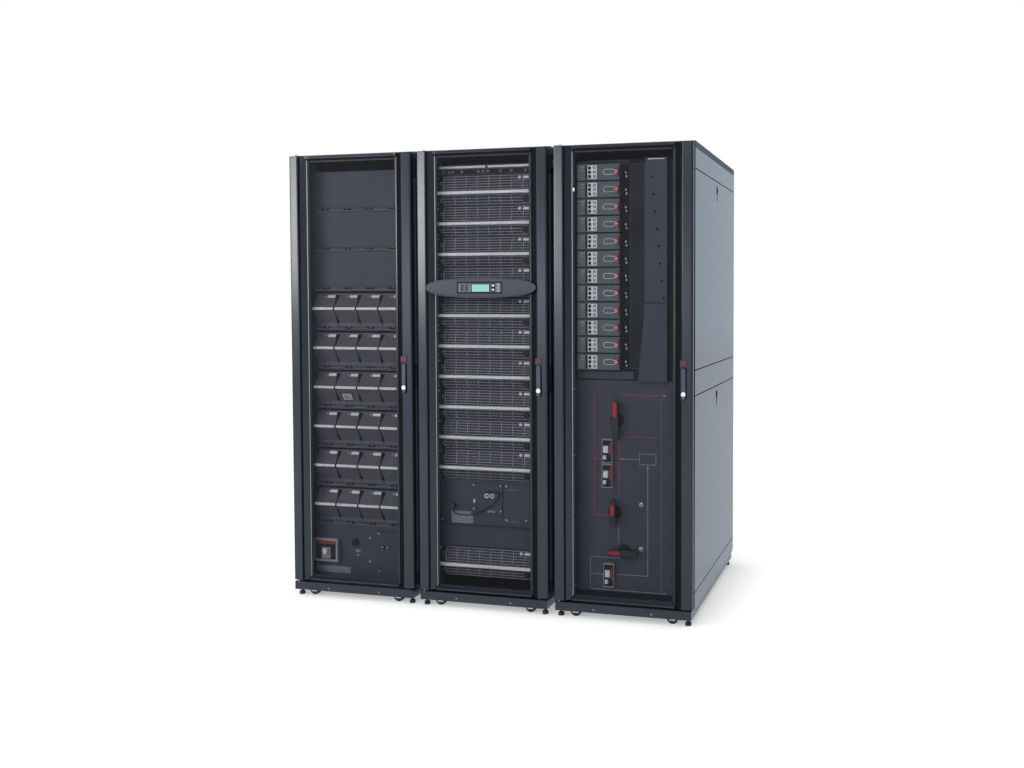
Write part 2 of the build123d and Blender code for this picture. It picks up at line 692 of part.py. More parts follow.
def battery_module(cx, index, z):
    """Closed block with a convex nose, narrowed to its foot and head, that carries its pull bar."""
    pitch = BODY_WIDTH / MODULES_PER_ROW
    x0 = cx - BODY_HALF + index * pitch + MODULE_GAP / 2
    x1 = x0 + pitch - MODULE_GAP
    tip = FACE_BACK - NOSE_PROUD
    low = z + NOSE_CENTRE - NOSE_FLAT / 2
    high = z + NOSE_CENTRE + NOSE_FLAT / 2
    top = z + MODULE_HEIGHT
    body = side_prism((
        (BODY_BACK, z), (FACE_BACK, z), (FACE_BACK, z + NOSE_FOOT), (tip, low), (tip, high),
        (FACE_BACK, top - NOSE_HEAD), (FACE_BACK, top), (BODY_BACK, top),
    ), x0, x1)
    foot_z = z + NOSE_FOOT
    head_z = top - NOSE_HEAD
    for edge, inward in ((x0, 1), (x1, -1)):
        under = ((edge, foot_z), (edge + inward * NOSE_FOOT_TAPER, foot_z), (edge, low))
        over = ((edge, head_z), (edge + inward * NOSE_HEAD_TAPER, head_z), (edge, high))
        body -= front_prism(under, tip, FACE_BACK)
        body -= front_prism(over, tip, FACE_BACK)
    bar = block(x0 + BATTERY_BAR_GAP, x1 - BATTERY_BAR_GAP, tip - BATTERY_BAR_PROUD, tip, low, high)
    return body, bar


def lower_panel(cx):
    panel = face_plate(cx, LOWER_PANEL_FOOT, TIER_FOOT + LIP_ABOVE - LIP_HEIGHT)
    return panel + rod_y(cx + SOCKET_X, SOCKET_Z, SOCKET_RADIUS, FACE_FRONT - SOCKET_PROUD, FACE_FRONT)


def on_panel(x, z, width, height, proud):
    """Block that stands on the front of a face plate."""
    front = FACE_FRONT - proud
    return block(x - width / 2, x + width / 2, front, FACE_FRONT, z - height / 2, z + height / 2)


def power_module(cx, z):
    """Rack module with a shallow nose across its face, and the pull bar on the nose."""
    low = z + POWER_BAR_Z - POWER_NOSE_FLAT / 2
    high = z + POWER_BAR_Z + POWER_NOSE_FLAT / 2
    tip = FACE_FRONT - POWER_NOSE_PROUD
    foot_z = z + FACE_SEAM / 2
    head_z = z + POWER_PITCH - FACE_SEAM / 2
    face = side_prism((
        (FACE_BACK, foot_z), (FACE_FRONT, foot_z), (tip, low), (tip, high), (FACE_FRONT, head_z),
        (FACE_BACK, head_z),
    ), cx - FACE_HALF, cx + FACE_HALF)
    body = face + body_block(cx, z, z + POWER_PITCH)
    half = FACE_HALF - POWER_BAR_INSET
    bar_z = z + POWER_BAR_Z
    bar = block(
        cx - half, cx + half, tip - POWER_BAR_PROUD, tip, bar_z - POWER_BAR_HEIGHT / 2,
        bar_z + POWER_BAR_HEIGHT / 2,
    )
    return body, bar


def plug(cx, x, z):
    """Moulded plug that stands on the connection panel."""
    mid = PANEL_FOOT + z
    return block(
        cx + x - PLUG_WIDTH / 2, cx + x + PLUG_WIDTH / 2, FACE_FRONT - PLUG_PROUD, FACE_FRONT,
        mid - PLUG_HEIGHT / 2, mid + PLUG_HEIGHT / 2,
    )


def connection_panel(cx):
    """Face plate with a raised control plate, a side plate and the plugs of a lead."""
    panel = face_plate(cx, PANEL_FOOT, POWER_FOOT)
    panel += block(
        cx + CONTROL_PLATE_LEFT, cx + CONTROL_PLATE_RIGHT, FACE_FRONT - CONTROL_PLATE_PROUD, FACE_FRONT,
        PANEL_FOOT + CONTROL_PLATE_FOOT, POWER_FOOT - CONTROL_PLATE_HEAD,
    )
    panel += block(
        cx + SIDE_PLATE_LEFT, cx + SIDE_PLATE_RIGHT, FACE_FRONT - SIDE_PLATE_PROUD, FACE_FRONT,
        PANEL_FOOT + SIDE_PLATE_MARGIN, POWER_FOOT - SIDE_PLATE_MARGIN,
    )
    for x, z in (LEAD_ROUTE[0], LEAD_ROUTE[-1]):
        panel += plug(cx, x, z + PLUG_HEIGHT / 2)
    return panel


def lead(cx, route):
    """Round lead along straight runs and the largest arcs that its runs allow."""
    y = FACE_FRONT - LEAD_STAND
    points = [Vector(cx + x, y, PANEL_FOOT + z) for x, z in route]
    radii = []
    for before, here, after in zip(points, points[1:], points[2:]):
        turn = (here - before).get_angle(after - here)
        shorter = min((here - before).length, (after - here).length)
        radii.append(ARC_SHARE * shorter / tan(radians(turn / 2)))
    path = FilletPolyline(*points, radius=radii)
    print("lead radii", [round(radius, 1) for radius in radii], "length", round(path.length, 1))
    section = Plane(path @ 0, z_dir=path % 0) * Circle(LEAD_RADIUS)
    tube = sweep(section, path=path)
    print("lead volume", round(tube.volume), "expected", round(path.length * section.area))
    return tube


def feeder(cx, index):
    z = FEEDER_FOOT + (index + 0.5) * FEEDER_PITCH
    return on_panel(cx + FEEDER_LEFT + FEEDER_WIDTH / 2, z, FEEDER_WIDTH, FEEDER_HEIGHT, FEEDER_PROUD)


def on_feeder(cx, index, left, width, height, proud):
    """Block on the front of one feeder breaker."""
    z = FEEDER_FOOT + (index + 0.5) * FEEDER_PITCH
    x0 = cx + FEEDER_LEFT + left
    front = FACE_FRONT - FEEDER_PROUD
    return block(x0, x0 + width, front - proud, front, z - height / 2, z + height / 2)


def cable_cover(cx):
    """Folded cover with a slanting row of tie holes and a wider foot."""
    outline = (
        (cx + COVER_LEFT, FACE_TOP), (cx + COVER_RIGHT, FACE_TOP), (cx + COVER_RIGHT, BACK_PLATE_FOOT),
        (cx + COVER_LEFT - COVER_FLARE, BACK_PLATE_FOOT), (cx + COVER_LEFT, COVER_STEP_Z),
    )
    cover = front_prism(outline, FACE_FRONT - COVER_THICKNESS, FACE_FRONT)
    x0 = COVER_LEFT + 2 * COVER_HOLE_EDGE
    x1 = COVER_RIGHT - COVER_HOLE_EDGE
    high = FACE_TOP - COVER_HOLE_DROP
    low = COVER_STEP_Z + COVER_HOLE_RISE
    for index in range(COVER_HOLES):
        share = index / (COVER_HOLES - 1)
        x = cx + x0 + share * (x1 - x0)
        z = high + share * (low - high)
        cover -= rod_y(x, z, COVER_HOLE_RADIUS, FACE_FRONT - COVER_THICKNESS, FACE_FRONT)
    return cover


def mimic_panel(cx):
    panel = face_plate(cx, MIMIC_FOOT, MIMIC_HEAD)
    bore = SWITCH_SHAFT_RADIUS + SWITCH_SHAFT_PLAY
    for x, z, length, turn in SWITCHES:
        panel -= rod_y(cx + x, z, bore, FACE_FRONT, FACE_BACK)
    return panel


def switch_handle(cx, x, z, length, turn):
    """Paddle, collar and shaft of one rotary switch."""
    back = FACE_FRONT - SWITCH_STANDOFF
    half_l = length / 2
    half_w = SWITCH_PADDLE_WIDTH / 2
    straight = half_l - half_w
    paddle = block(-half_w, half_w, back - SWITCH_PADDLE_DEPTH, back, -straight, straight)
    for end in (-straight, straight):
        paddle += rod_y(0, end, half_w, back - SWITCH_PADDLE_DEPTH, back)
    paddle = Rot(0, turn, 0) * paddle
    paddle += rod_y(0, 0, SWITCH_COLLAR_RADIUS, back, FACE_FRONT - SWITCH_COLLAR_LIFT)
    paddle += rod_y(0, 0, SWITCH_SHAFT_RADIUS, FACE_FRONT - SWITCH_COLLAR_LIFT, FACE_BACK)
    return Pos(cx + x, 0, z) * paddle


os.makedirs("parts", exist_ok=True)

left_x, middle_x, right_x = CENTRES

# Shell of the three bays
write("bases", [base(cx) for cx in CENTRES])
write("roofs", [roof(cx) for cx in CENTRES])
write("roof_covers", [plate for cx in CENTRES for plate in cover_plates(cx, COVER_PLATE_SEAM)])
write("corner_posts", [post for cx in CENTRES for post in posts(cx)])
write("mounting_rails", [rail for cx in CENTRES for rail in mount_rails(cx)])
write("side_rails", [rail for cx in CENTRES for rail in rails(cx)])
write("left_side_panels", outer_panels(left_x, -1))
write("right_side_panels", outer_panels(right_x, 1))
write("panel_latches", latches(left_x, -1) + latches(right_x, 1))
middle_walls = panels(middle_x, -1) + panels(middle_x, 1)
write("inner_side_panels", panels(left_x, 1) + middle_walls + panels(right_x, -1))
write("rear_doors", [door for cx in CENTRES for door in rear_doors(cx)])
write("rear_door_handles", [rear_handle(cx, LATCH_PLAY) for cx in CENTRES])
write("baying_spacers", spacers(left_x) + spacers(middle_x))
write("hinge_pins", [pin for cx in CENTRES for pin in hinge_pins(cx)])

# Feet and casters
feet = []
forks = []
wheels = []
for cx in CENTRES:
    for sx, sy in corner_signs():
        feet.append(foot(*edge_place(cx, sx, sy, FOOT_EDGE_X, FOOT_EDGE_Y)))
        spot = edge_place(cx, sx, sy, WHEEL_EDGE_X, WHEEL_EDGE_Y)
        forks.append(fork(*spot))
        wheels.append(wheel(*spot))
write("levelling_feet", feet)
write("caster_forks", forks)
write("caster_wheels", wheels)

# Front doors
for name, cx in zip(BAYS, CENTRES):
    write(name + "_door_frame", [door_frame(cx)])
    write(name + "_door_mesh", [door_mesh(cx)])
    write(name + "_door_handle", [door_handle(cx)])
write("display_bezel", [display_bezel()])
write("display_panel", [display_panel()])
write("display_lcd", [on_screen(LCD_X, LCD_Z, LCD_WIDTH, LCD_HEIGHT)])
write("display_keys", display_keys())

# Battery bay
modules = []
bars = []
for row in range(ROWS_FILLED):
    for index in range(MODULES_PER_ROW):
        body, bar = battery_module(left_x, index, tier_z(row))
        modules.append(body)
        bars.append(bar)
write("battery_shelves", [shelf(left_x, tier_z(row)) for row in range(TIER_COUNT)])
write("battery_modules", modules)
write("battery_pull_bars", bars)
write("battery_blank_panels", [
    face_plate(left_x, tier_z(row) + LIP_ABOVE, tier_z(row + 1) + LIP_ABOVE - LIP_HEIGHT)
    for row in range(ROWS_FILLED, TIER_COUNT)
])
write("battery_lower_panel", [lower_panel(left_x)])
write("battery_breaker", [
    on_panel(left_x + BREAKER_X, BREAKER_Z, BREAKER_WIDTH, BREAKER_HEIGHT, BREAKER_PROUD),
])

# Power bay
modules = []
bars = []
for index in range(POWER_COUNT):
    body, bar = power_module(middle_x, POWER_FOOT + index * POWER_PITCH)
    modules.append(body)
    bars.append(bar)
static_body, static_bar = power_module(middle_x, STATIC_FOOT)
bars.append(static_bar)
write("power_modules", modules)
write("power_pull_bars", bars)
write("static_switch_module", [static_body])
control = face_plate(middle_x, CONTROL_FOOT, CONTROL_TOP) + body_block(middle_x, CONTROL_FOOT, CONTROL_TOP)
write("control_unit", [control])
write("connection_panel", [connection_panel(middle_x)])
write("signal_lead", [lead(middle_x, LEAD_ROUTE)])
write("power_blank_panel", [face_plate(middle_x, BLANK_FOOT, PANEL_FOOT)])

# Bypass bay
write("feeder_back_plate", [face_plate(right_x, BACK_PLATE_FOOT, FACE_TOP)])
write("feeder_breakers", [feeder(right_x, index) for index in range(FEEDER_COUNT)])
write("feeder_toggles", [
    on_feeder(right_x, index, TOGGLE_LEFT, TOGGLE_WIDTH, TOGGLE_HEIGHT, TOGGLE_PROUD)
    for index in range(FEEDER_COUNT)
])
write("feeder_levers", [
    on_feeder(right_x, index, LEVER_LEFT, LEVER_WIDTH, LEVER_HEIGHT, LEVER_PROUD)
    for index in range(FEEDER_COUNT)
])
write("cable_cover", [cable_cover(right_x)])
write("mimic_panel", [mimic_panel(right_x)])
write("panel_breakers", [
    on_panel(right_x + x, MIMIC_FOOT + z, SMALL_BREAKER_WIDTH, SMALL_BREAKER_HEIGHT, SMALL_BREAKER_PROUD)
    for x, z in SMALL_BREAKERS
])
for number, (x, z, length, turn) in enumerate(SWITCHES, 1):
    write("bypass_switch_%d" % number, [switch_handle(right_x, x, z, length, turn)])
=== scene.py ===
"""Looks of a three-bay modular power cabinet line-up, laid out as an add-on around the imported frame."""

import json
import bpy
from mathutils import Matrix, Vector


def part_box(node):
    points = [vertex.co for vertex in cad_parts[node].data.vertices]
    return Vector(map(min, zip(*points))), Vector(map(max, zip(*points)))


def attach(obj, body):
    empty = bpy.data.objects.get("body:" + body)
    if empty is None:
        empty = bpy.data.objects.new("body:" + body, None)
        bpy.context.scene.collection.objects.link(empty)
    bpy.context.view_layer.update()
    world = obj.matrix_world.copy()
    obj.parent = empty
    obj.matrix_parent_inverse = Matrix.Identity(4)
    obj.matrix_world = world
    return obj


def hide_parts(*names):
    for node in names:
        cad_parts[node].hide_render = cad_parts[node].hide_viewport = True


bl_info = {
    "name": "Power cabinet looks",
    "version": (1, 0, 0),
    "blender": (4, 5, 0),
    "location": "View3D > Sidebar > Cabinet",
    "description": "Dresses a three-bay power cabinet: meshes, modules, panels, finishes and stage",
    "category": "Object",
}

import bmesh
import bpy
import numpy as np
from bpy.props import FloatProperty, FloatVectorProperty, IntProperty, PointerProperty
from bpy.types import NodeSocket, Operator, Panel, PropertyGroup
from mathutils import Matrix

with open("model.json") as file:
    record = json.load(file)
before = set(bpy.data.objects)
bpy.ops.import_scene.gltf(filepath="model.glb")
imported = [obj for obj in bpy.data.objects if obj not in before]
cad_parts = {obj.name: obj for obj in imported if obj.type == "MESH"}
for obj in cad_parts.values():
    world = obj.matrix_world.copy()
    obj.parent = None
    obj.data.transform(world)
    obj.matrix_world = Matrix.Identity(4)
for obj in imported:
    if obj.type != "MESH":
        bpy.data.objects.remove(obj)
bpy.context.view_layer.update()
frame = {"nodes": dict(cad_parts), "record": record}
BAYS = ("battery", "power", "bypass")
FRONT = np.array([0.0, -1.0, 0.0])


def corners(node):
    """Lowest and highest corner of a node, as arrays."""
    low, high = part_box(node)
    return np.array(low), np.array(high)


def middle(node):
    """Centre of a node's box."""
    low, high = corners(node)
    return (low + high) / 2


def base_of(node):
    """Height of the foot of a node's box."""
    return float(corners(node)[0][2])


def rise_of(node):
    """Height of a node's box from foot to head."""
    return float(np.ptp(np.array(corners(node))[:, 2]))


# Places that the frame gives, in metres
RACK_UNIT = 0.04445
TIER_PITCH = 4 * RACK_UNIT
POWER_PITCH = 3 * RACK_UNIT
FEEDER_PITCH = 0.072
MODULE_GAP = 0.001
SHELF_LIP = 0.012
BAY_X = {bay: float(middle(bay + "_door_mesh")[0]) for bay in BAYS}
FACE_Y = float(corners("mimic_panel")[0][1])
PANEL_FOOT = base_of("connection_panel") - MODULE_GAP
POWER_FOOT = base_of("power_modules") - MODULE_GAP
STATIC_FOOT = base_of("static_switch_module") - MODULE_GAP
POWER_COUNT = round(rise_of("power_modules") / POWER_PITCH)
SHELF_FOOT = base_of("battery_shelves") + SHELF_LIP
TIER_COUNT = 1 + round(rise_of("battery_shelves") / TIER_PITCH)
ROW_COUNT = 1 + int(rise_of("battery_modules") / TIER_PITCH)
FEEDER_LOW, FEEDER_HIGH = corners("feeder_breakers")
FEEDER_COUNT = 1 + int(rise_of("feeder_breakers") / FEEDER_PITCH)


# Settings that a user would change


def size(name, description, value):
    """A length in metres."""
    return FloatProperty(name=name, description=description, default=value, unit="LENGTH")


def level(name, description, value, **more):
    """A power, strength or share that isn't below nought."""
    return FloatProperty(name=name, description=description, default=value, min=0.0, **more)


def colour(name, description, value):
    """A colour with linear red, green and blue."""
    return FloatVectorProperty(
        name=name, description=description, default=value, size=3, min=0.0, max=1.0, subtype="COLOR",
    )


class MeshSizes(PropertyGroup):
    """Lattice of the door meshes and rear fields."""

    pitch: size("Pitch", "Spacing of the lattice bars", 0.0045)
    bar: size("Bar", "Width of a lattice bar", 0.0005)
    margin: size("Margin", "Plain edge round each sheet", 0.006)


class DetailSizes(PropertyGroup):
    """Small fittings on the panels."""

    screw_radius: size("Screw", "Radius of a panel screw", 0.0042)
    line_width: size("Line", "Width of a line of the mimic diagram", 0.0026)
    plate: size("Plate", "Thickness of a label or thin plate", 0.0012)
    grille_rows: size("Grille rows", "Spacing of the level grille bars", 0.0116)
    grille_columns: size("Grille columns", "Spacing of the upright grille bars", 0.0106)
    round_steps: IntProperty(name="Steps", description="Points round a small disc", default=20, min=8)


class Colours(PropertyGroup):
    """Colours of the finishes."""

    charcoal: colour("Charcoal", "Outer powder coat", (0.030, 0.036, 0.048))
    # The same charcoal paint darkened as painted shade, for the door frames and bases that face the front
    door: colour("Door", "Gloss paint of the door frames", (0.013, 0.017, 0.028))
    interior: colour("Interior", "Paint of the inner panels", (0.058, 0.062, 0.096))
    panel: colour("Panel", "Paint of the connection panels", (0.052, 0.055, 0.084))
    mesh: colour("Mesh", "Perforated steel", (0.016, 0.017, 0.021))
    bezel: colour("Bezel", "Display surround", (0.036, 0.044, 0.059))
    black: colour("Black", "Black plastic", (0.012, 0.012, 0.014))
    plate: colour("Plate", "Inner plate of the display", (0.105, 0.090, 0.112))
    lcd: colour("Screen", "Pale screen", (0.22, 0.50, 0.44))
    battery: colour("Battery", "Battery module plastic", (0.108, 0.107, 0.138))
    module: colour("Module", "Power module paint", (0.008, 0.008, 0.014))
    grille: colour("Grille", "Module grille bars", (0.34, 0.34, 0.43))
    aluminium: colour("Aluminium", "Pull bars", (0.95, 0.95, 0.97))
    breaker: colour("Breaker", "Breaker housings", (0.34, 0.35, 0.40))
    feeder: colour("Feeder", "Feeder housings", (0.103, 0.126, 0.150))
    back: colour("Back plate", "Perforated plate behind the feeders", (0.010, 0.011, 0.014))
    # Pale tone of labels, dots and bolt heads, and of the painted highlights on the doors' left lips and the
    # clips
    trim: colour("Trim", "Pale strips beside the meshes", (0.26, 0.26, 0.30))
    cover: colour("Cover", "Cable cover", (0.047, 0.054, 0.086))
    white: colour("White", "Labels and white plastic", (0.88, 0.88, 0.90))
    red: colour("Red", "Levers and switch faces", (0.56, 0.022, 0.034))
    cap: colour("Cap", "Caps of the door handles", (0.075, 0.006, 0.016))
    magenta: colour("Magenta", "Live lines of the diagram", (0.46, 0.035, 0.085))
    line: colour("Line", "Grey lines of the diagram", (0.30, 0.31, 0.34))
    zinc: colour("Zinc", "Plated steel", (0.58, 0.59, 0.61))
    rubber: colour("Rubber", "Feet and tyres", (0.016, 0.016, 0.018))


class StageSizes(PropertyGroup):
    """Camera, light and floor."""

    eye: FloatVectorProperty(
        name="Eye", description="Place of the camera", default=(1.7178, -4.4882, 1.3544), subtype="TRANSLATION",
    )
    yaw: FloatProperty(name="Yaw", description="Turn of the view to the left", default=0.2506, subtype="ANGLE")
    tilt: FloatProperty(name="Tilt", description="Turn of the view downwards", default=0.0391, subtype="ANGLE")
    focal: FloatProperty(name="Focal length", description="Focal length in picture widths", default=0.97533)
    shift: FloatVectorProperty(
        name="Shift", description="Lens shift in picture widths", default=(-0.125, -0.04663), size=2,
    )
    key: level("Key light", "Power of the main lamp", 100.0, subtype="POWER")
    card: level("Front card", "Power of the low lamp straight ahead", 24.0, subtype="POWER")
    fill: level("Fill light", "Power of the left-hand lamp", 150.0, subtype="POWER")
    sky: level("Sky", "Strength of the light from all round", 0.42)
    mirror: colour("Mirrored surroundings", "Cool tone that gloss shows", (0.74, 0.86, 1.0))
    mirror_front: level("Mirrored front", "Share of that tone in front of the cabinet", 0.28, max=1.0)
    mirror_ahead: level("Mirrored ahead", "Share of that tone straight ahead", 0.60, max=1.0)


class CabinetLooks(PropertyGroup):
    """All settings of the looks."""

    mesh: PointerProperty(type=MeshSizes)
    detail: PointerProperty(type=DetailSizes)
    colours: PointerProperty(type=Colours)
    stage: PointerProperty(type=StageSizes)


# Outlines, anticlockwise as seen from the front, as arrays of (x, z)


def rectangle(width, height):
    """Four corners at plus and minus half the width and the height."""
    return np.array([[-1, -1], [1, -1], [1, 1], [-1, 1]]) * [width / 2, height / 2]


def circle(radius, steps):
    """radius times (cos, sin) of evenly spaced angles."""
    angle = np.linspace(0, 2 * np.pi, steps, endpoint=False)
    return radius * np.stack([np.cos(angle), np.sin(angle)], axis=1)


def round_rectangle(width, height, radius, steps=6):
    """A quarter circle at each corner, its centre set in by the radius."""
    angle = np.linspace(0, np.pi / 2, steps)[None, :] + np.arange(4)[:, None] * np.pi / 2
    signs = np.array([[1, 1], [-1, 1], [-1, -1], [1, -1]])
    centre = signs * [width / 2 - radius, height / 2 - radius]
    arc = radius * np.stack([np.cos(angle), np.sin(angle)], axis=2)
    return (centre[:, None, :] + arc).reshape(-1, 2)


def stadium(width, height):
    """Round-ended bar: a rounded rectangle whose radius is nearly half its shorter side."""
    return round_rectangle(width, height, 0.499 * min(width, height), 10)


def bar_profile(depth, height, radius):
    """Rounded bar of (y, z) whose back lies on the face that carries it."""
    return round_rectangle(depth, height, radius) - [depth / 2, 0.0]


def half_round(depth, height, steps=12):
    """Bar profile of (y, z): flat at the back, half an ellipse at the front."""
    angle = np.linspace(-np.pi / 2, np.pi / 2, steps)
    return np.stack([-depth * np.cos(angle), height / 2 * np.sin(angle)], axis=1)


def shrunk(outline, inset):
    """Outline scaled about its centre so that each side comes in by the inset."""
    centre = (outline.max(0) + outline.min(0)) / 2
    return centre + (outline - centre) * (1 - 2 * inset / np.ptp(outline, axis=0))


# Surfaces, as pairs of points and faces


def solids(rings):
    """Closed solids from rings of shape (solids, levels, points, 3): each level is joined to the next, and
    the first and last are capped."""
    count, levels, points, _ = rings.shape
    index = np.arange(count * levels * points).reshape(count, levels, points)
    near = index[:, :-1, :]
    far = index[:, 1:, :]
    sides = np.stack([near, np.roll(near, -1, 2), np.roll(far, -1, 2), far], axis=-1).reshape(-1, 4)
    caps = np.concatenate([index[:, 0, ::-1], index[:, -1, :]])
    return rings.reshape(-1, 3), [sides, caps]


def stacked(levels):
    """Rings from (outline, height) pairs, each outline lifted by its height towards the front."""
    return np.stack([
        np.stack([outline[:, 0], np.full(len(outline), -height), outline[:, 1]], axis=1)
        for outline, height in levels
    ])


def slabs(outline, places, depth, inset):
    """Plates that stand on a face: the outline at the back and at the shoulder, drawn in at the front."""
    rings = stacked([(outline, 0.0), (outline, depth - inset), (shrunk(outline, inset), depth)])
    return solids(np.atleast_2d(places)[:, None, None, :] + rings)


def discs(profile, places, steps):
    """Round pieces: (radius, height) pairs turned about an axis that points to the front."""
    rings = stacked([(circle(radius, steps), height) for radius, height in profile])
    return solids(np.atleast_2d(places)[:, None, None, :] + rings)


def bars(start, end, normal, width, depth):
    """Flat bars from start to end: half the width to each side, raised along the normal by the depth."""
    start = np.atleast_2d(start).astype(float)
    end = np.atleast_2d(end).astype(float)
    along = end - start
    along /= np.linalg.norm(along, axis=1, keepdims=True)
    side = np.cross(along, normal) * width / 2
    foot = np.stack([start - side, end - side, end + side, start + side], axis=1)
    return solids(np.stack([foot, foot + np.asarray(normal) * depth], axis=1))


def beams(profile, left, right, places, inset):
    """Bars along X: a closed profile of (y, z), drawn in by the inset at both ends."""
    small = shrunk(profile, inset)
    levels = ((left, small), (left + inset, profile), (right - inset, profile), (right, small))
    rings = np.stack([np.column_stack([np.full(len(p), x), p]) for x, p in levels])
    return solids(np.atleast_2d(places)[:, None, None, :] + rings)


def tubes(paths, radius, normal, steps=8):
    """Round wires: a circle in the plane of the normal and of its cross product with the path's direction."""
    paths = np.asarray(paths, float)
    along = np.gradient(paths, axis=1)
    along /= np.linalg.norm(along, axis=2, keepdims=True)
    across = np.cross(along, normal)[:, :, None, :]
    turn = circle(radius, steps)
    return solids(paths[:, :, None, :] + turn[:, 0, None] * np.asarray(normal) + turn[:, 1, None] * across)


def spun(part, angle, axis, about):
    """Part turned about an axis through a point."""
    points, faces = part
    turn = np.array(Matrix.Rotation(angle, 3, axis))
    return (points - about) @ turn.T + about, faces


def leaning(outline, places, depth, inset, angle):
    """Plates that lie on a slope, each turned about X through its own place."""
    return [spun(slabs(outline, place, depth, inset), angle, "X", place) for place in places]


def lattice(low, high, pitch, width):
    """Two layers of bars at plus and minus 45 degrees, each line clipped to the rectangle in X and Z: along a
    line n s + d t, the largest of the entering values of t to the smallest of the leaving ones."""
    centre = (low + high) / 2
    half = (high - low)[[0, 2]] / 2
    layer = (high[1] - low[1]) / 2
    reach = half.sum() * np.sqrt(0.5)
    offset = np.arange(-reach + pitch / 2, reach, pitch)
    parts = []
    for sign, foot in ((1, high[1]), (-1, high[1] - layer)):
        normal = np.sqrt(0.5) * np.array([1, sign])
        along = np.sqrt(0.5) * np.array([1, -sign])
        base = offset[:, None] * normal
        crossing = np.stack([(-half - base) / along, (half - base) / along])
        enter = crossing.min(0).max(1) + width / 2
        leave = crossing.max(0).min(1) - width / 2
        kept = leave - enter > width
        ends = [base[kept] + along * t[kept, None] + centre[[0, 2]] for t in (enter, leave)]
        start, end = (points_at(e[:, 0], foot, e[:, 1]) for e in ends)
        parts.append(bars(start, end, FRONT, width, layer))
    return parts


def border(low, high, margin):
    """Four flat strips along the edges of a sheet."""
    x0, x1 = low[0] + margin / 2, high[0] - margin / 2
    z0, z1 = low[2] + margin / 2, high[2] - margin / 2
    y = high[1]
    start = [[low[0], y, z0], [low[0], y, z1], [x0, y, low[2]], [x1, y, low[2]]]
    end = [[high[0], y, z0], [high[0], y, z1], [x0, y, high[2]], [x1, y, high[2]]]
    return [bars(start, end, FRONT, margin, high[1] - low[1])]


def points_at(xs, y, zs):
    """Places with one y for paired or single x and z values."""
    xs, zs = np.broadcast_arrays(np.asarray(xs, float), np.asarray(zs, float))
    return np.stack([xs.ravel(), np.full(xs.size, y), zs.ravel()], axis=1)


def pairs(xs, zs):
    """Every pair of an x and a z, row by row."""
    return (grid.ravel() for grid in np.meshgrid(xs, zs))


# Finishes: colour, roughness and what differs from the usual

EDGE = 0.0012
GLOSS_RANGE = 0.05
RELIEF = 0.0006
SHARP_ANGLE = 0.6
# Detail of the slow, middle and fine noise, and how much finer than the slow one the middle one is
SLOW, MIDDLE, FINE = 3.0, 4.0, 2.0
MIDDLE_SCALE = 9
FINISHES = {
    "charcoal_paint": ("charcoal", 0.17, {"edge": EDGE, "grain": 0.03}),
    # Side paint with painted shade in the seams of the side panels and the black faces of the key latches
    "side_paint": ("charcoal", 0.17, {"edge": EDGE, "grain": 0.03, "marked": True}),
    "roof_paint": ("charcoal", 0.5, {"edge": EDGE, "specular": 0.3}),
    # Charcoal darkened as painted shade on the door frames and bases
    "door_paint": ("door", 0.24, {"edge": EDGE, "grain": 0.03}),
    "panel_paint": ("panel", 0.5, {"specular": 0.35}),
    "feeder_plastic": ("feeder", 0.45, {"specular": 0.4, "grain": 0.12}),
    "back_steel": ("back", 0.6, {"specular": 0.2}),
    "trim_strip": ("trim", 0.4, {"mottle": 0.04}),
    "interior_paint": ("interior", 0.55, {"specular": 0.35}),
    "perforated_steel": ("mesh", 0.50, {"specular": 0.3}),
    "handle_plastic": ("module", 0.45, {"grain": 0.12}),
    "display_plastic": ("bezel", 0.55, {"specular": 0.4, "grain": 0.2}),
    "latch_plastic": ("black", 0.9, {"specular": 0.0}),
    "display_black": ("black", 0.5, {"specular": 0.1, "mottle": 0.04}),
    "display_plate": ("plate", 0.5, {"mottle": 0.04}),
    "lcd_glass": ("lcd", 0.18, {"mottle": 0.03, "grain": 0.03, "stretch": (1.0, 1.0, 4.0)}),
    "key_plastic": ("black", 0.5, {"specular": 0.25}),
    "battery_plastic": ("battery", 0.5, {"specular": 0.4, "grain": 0.15}),
    "bar_aluminium": ("aluminium", 0.40, {
        "mottle": 0.03, "mottle_scale": 40.0, "grain": 0.02, "grain_scale": 900.0, "stretch": (0.03, 1.0, 1.0),
    }),
    "module_paint": ("module", 0.55, {"specular": 0.3}),
    "grille_steel": ("grille", 0.42, {"specular": 0.45}),
    "breaker_plastic": ("breaker", 0.48, {"grain": 0.12}),
    "toggle_plastic": ("white", 0.45, {"mottle": 0.03}),
    "lever_plastic": ("red", 0.36, {"mottle": 0.05}),
    "cap_plastic": ("cap", 0.36, {"mottle": 0.05}),
    "lead_jacket": ("black", 0.5, {}),
    "cover_paint": ("cover", 0.5, {"specular": 0.4}),
    "switch_plastic": ("black", 0.42, {"grain": 0.12}),
    "zinc_steel": ("zinc", 0.34, {"metallic": 1.0, "mottle_scale": 60.0}),
    "black_rubber": ("rubber", 0.72, {"grain": 0.25, "grain_scale": 600.0}),
    "label_white": ("white", 0.6, {"mottle": 0.02}),
    "magenta_line": ("magenta", 0.5, {"mottle": 0.03}),
    "grey_line": ("line", 0.5, {"mottle": 0.03}),
}
# Near-black of the painted shade in the side seams and of the key latches' faces
SEAM_SHADE_AND_LATCH_COLOUR = (0.004, 0.004, 0.005, 1.0)
SEAM_HALF = 0.0022
SEAM_ABOVE_FOOT = 0.069
SEAM_BELOW_HEAD = 0.084
MIDDLE_SEAMS = (0.949, 1.055)
LATCH_RADIUS = 0.019
UPPER_LATCH_DROP = 0.010
LOWER_LATCH_RISE = 0.050


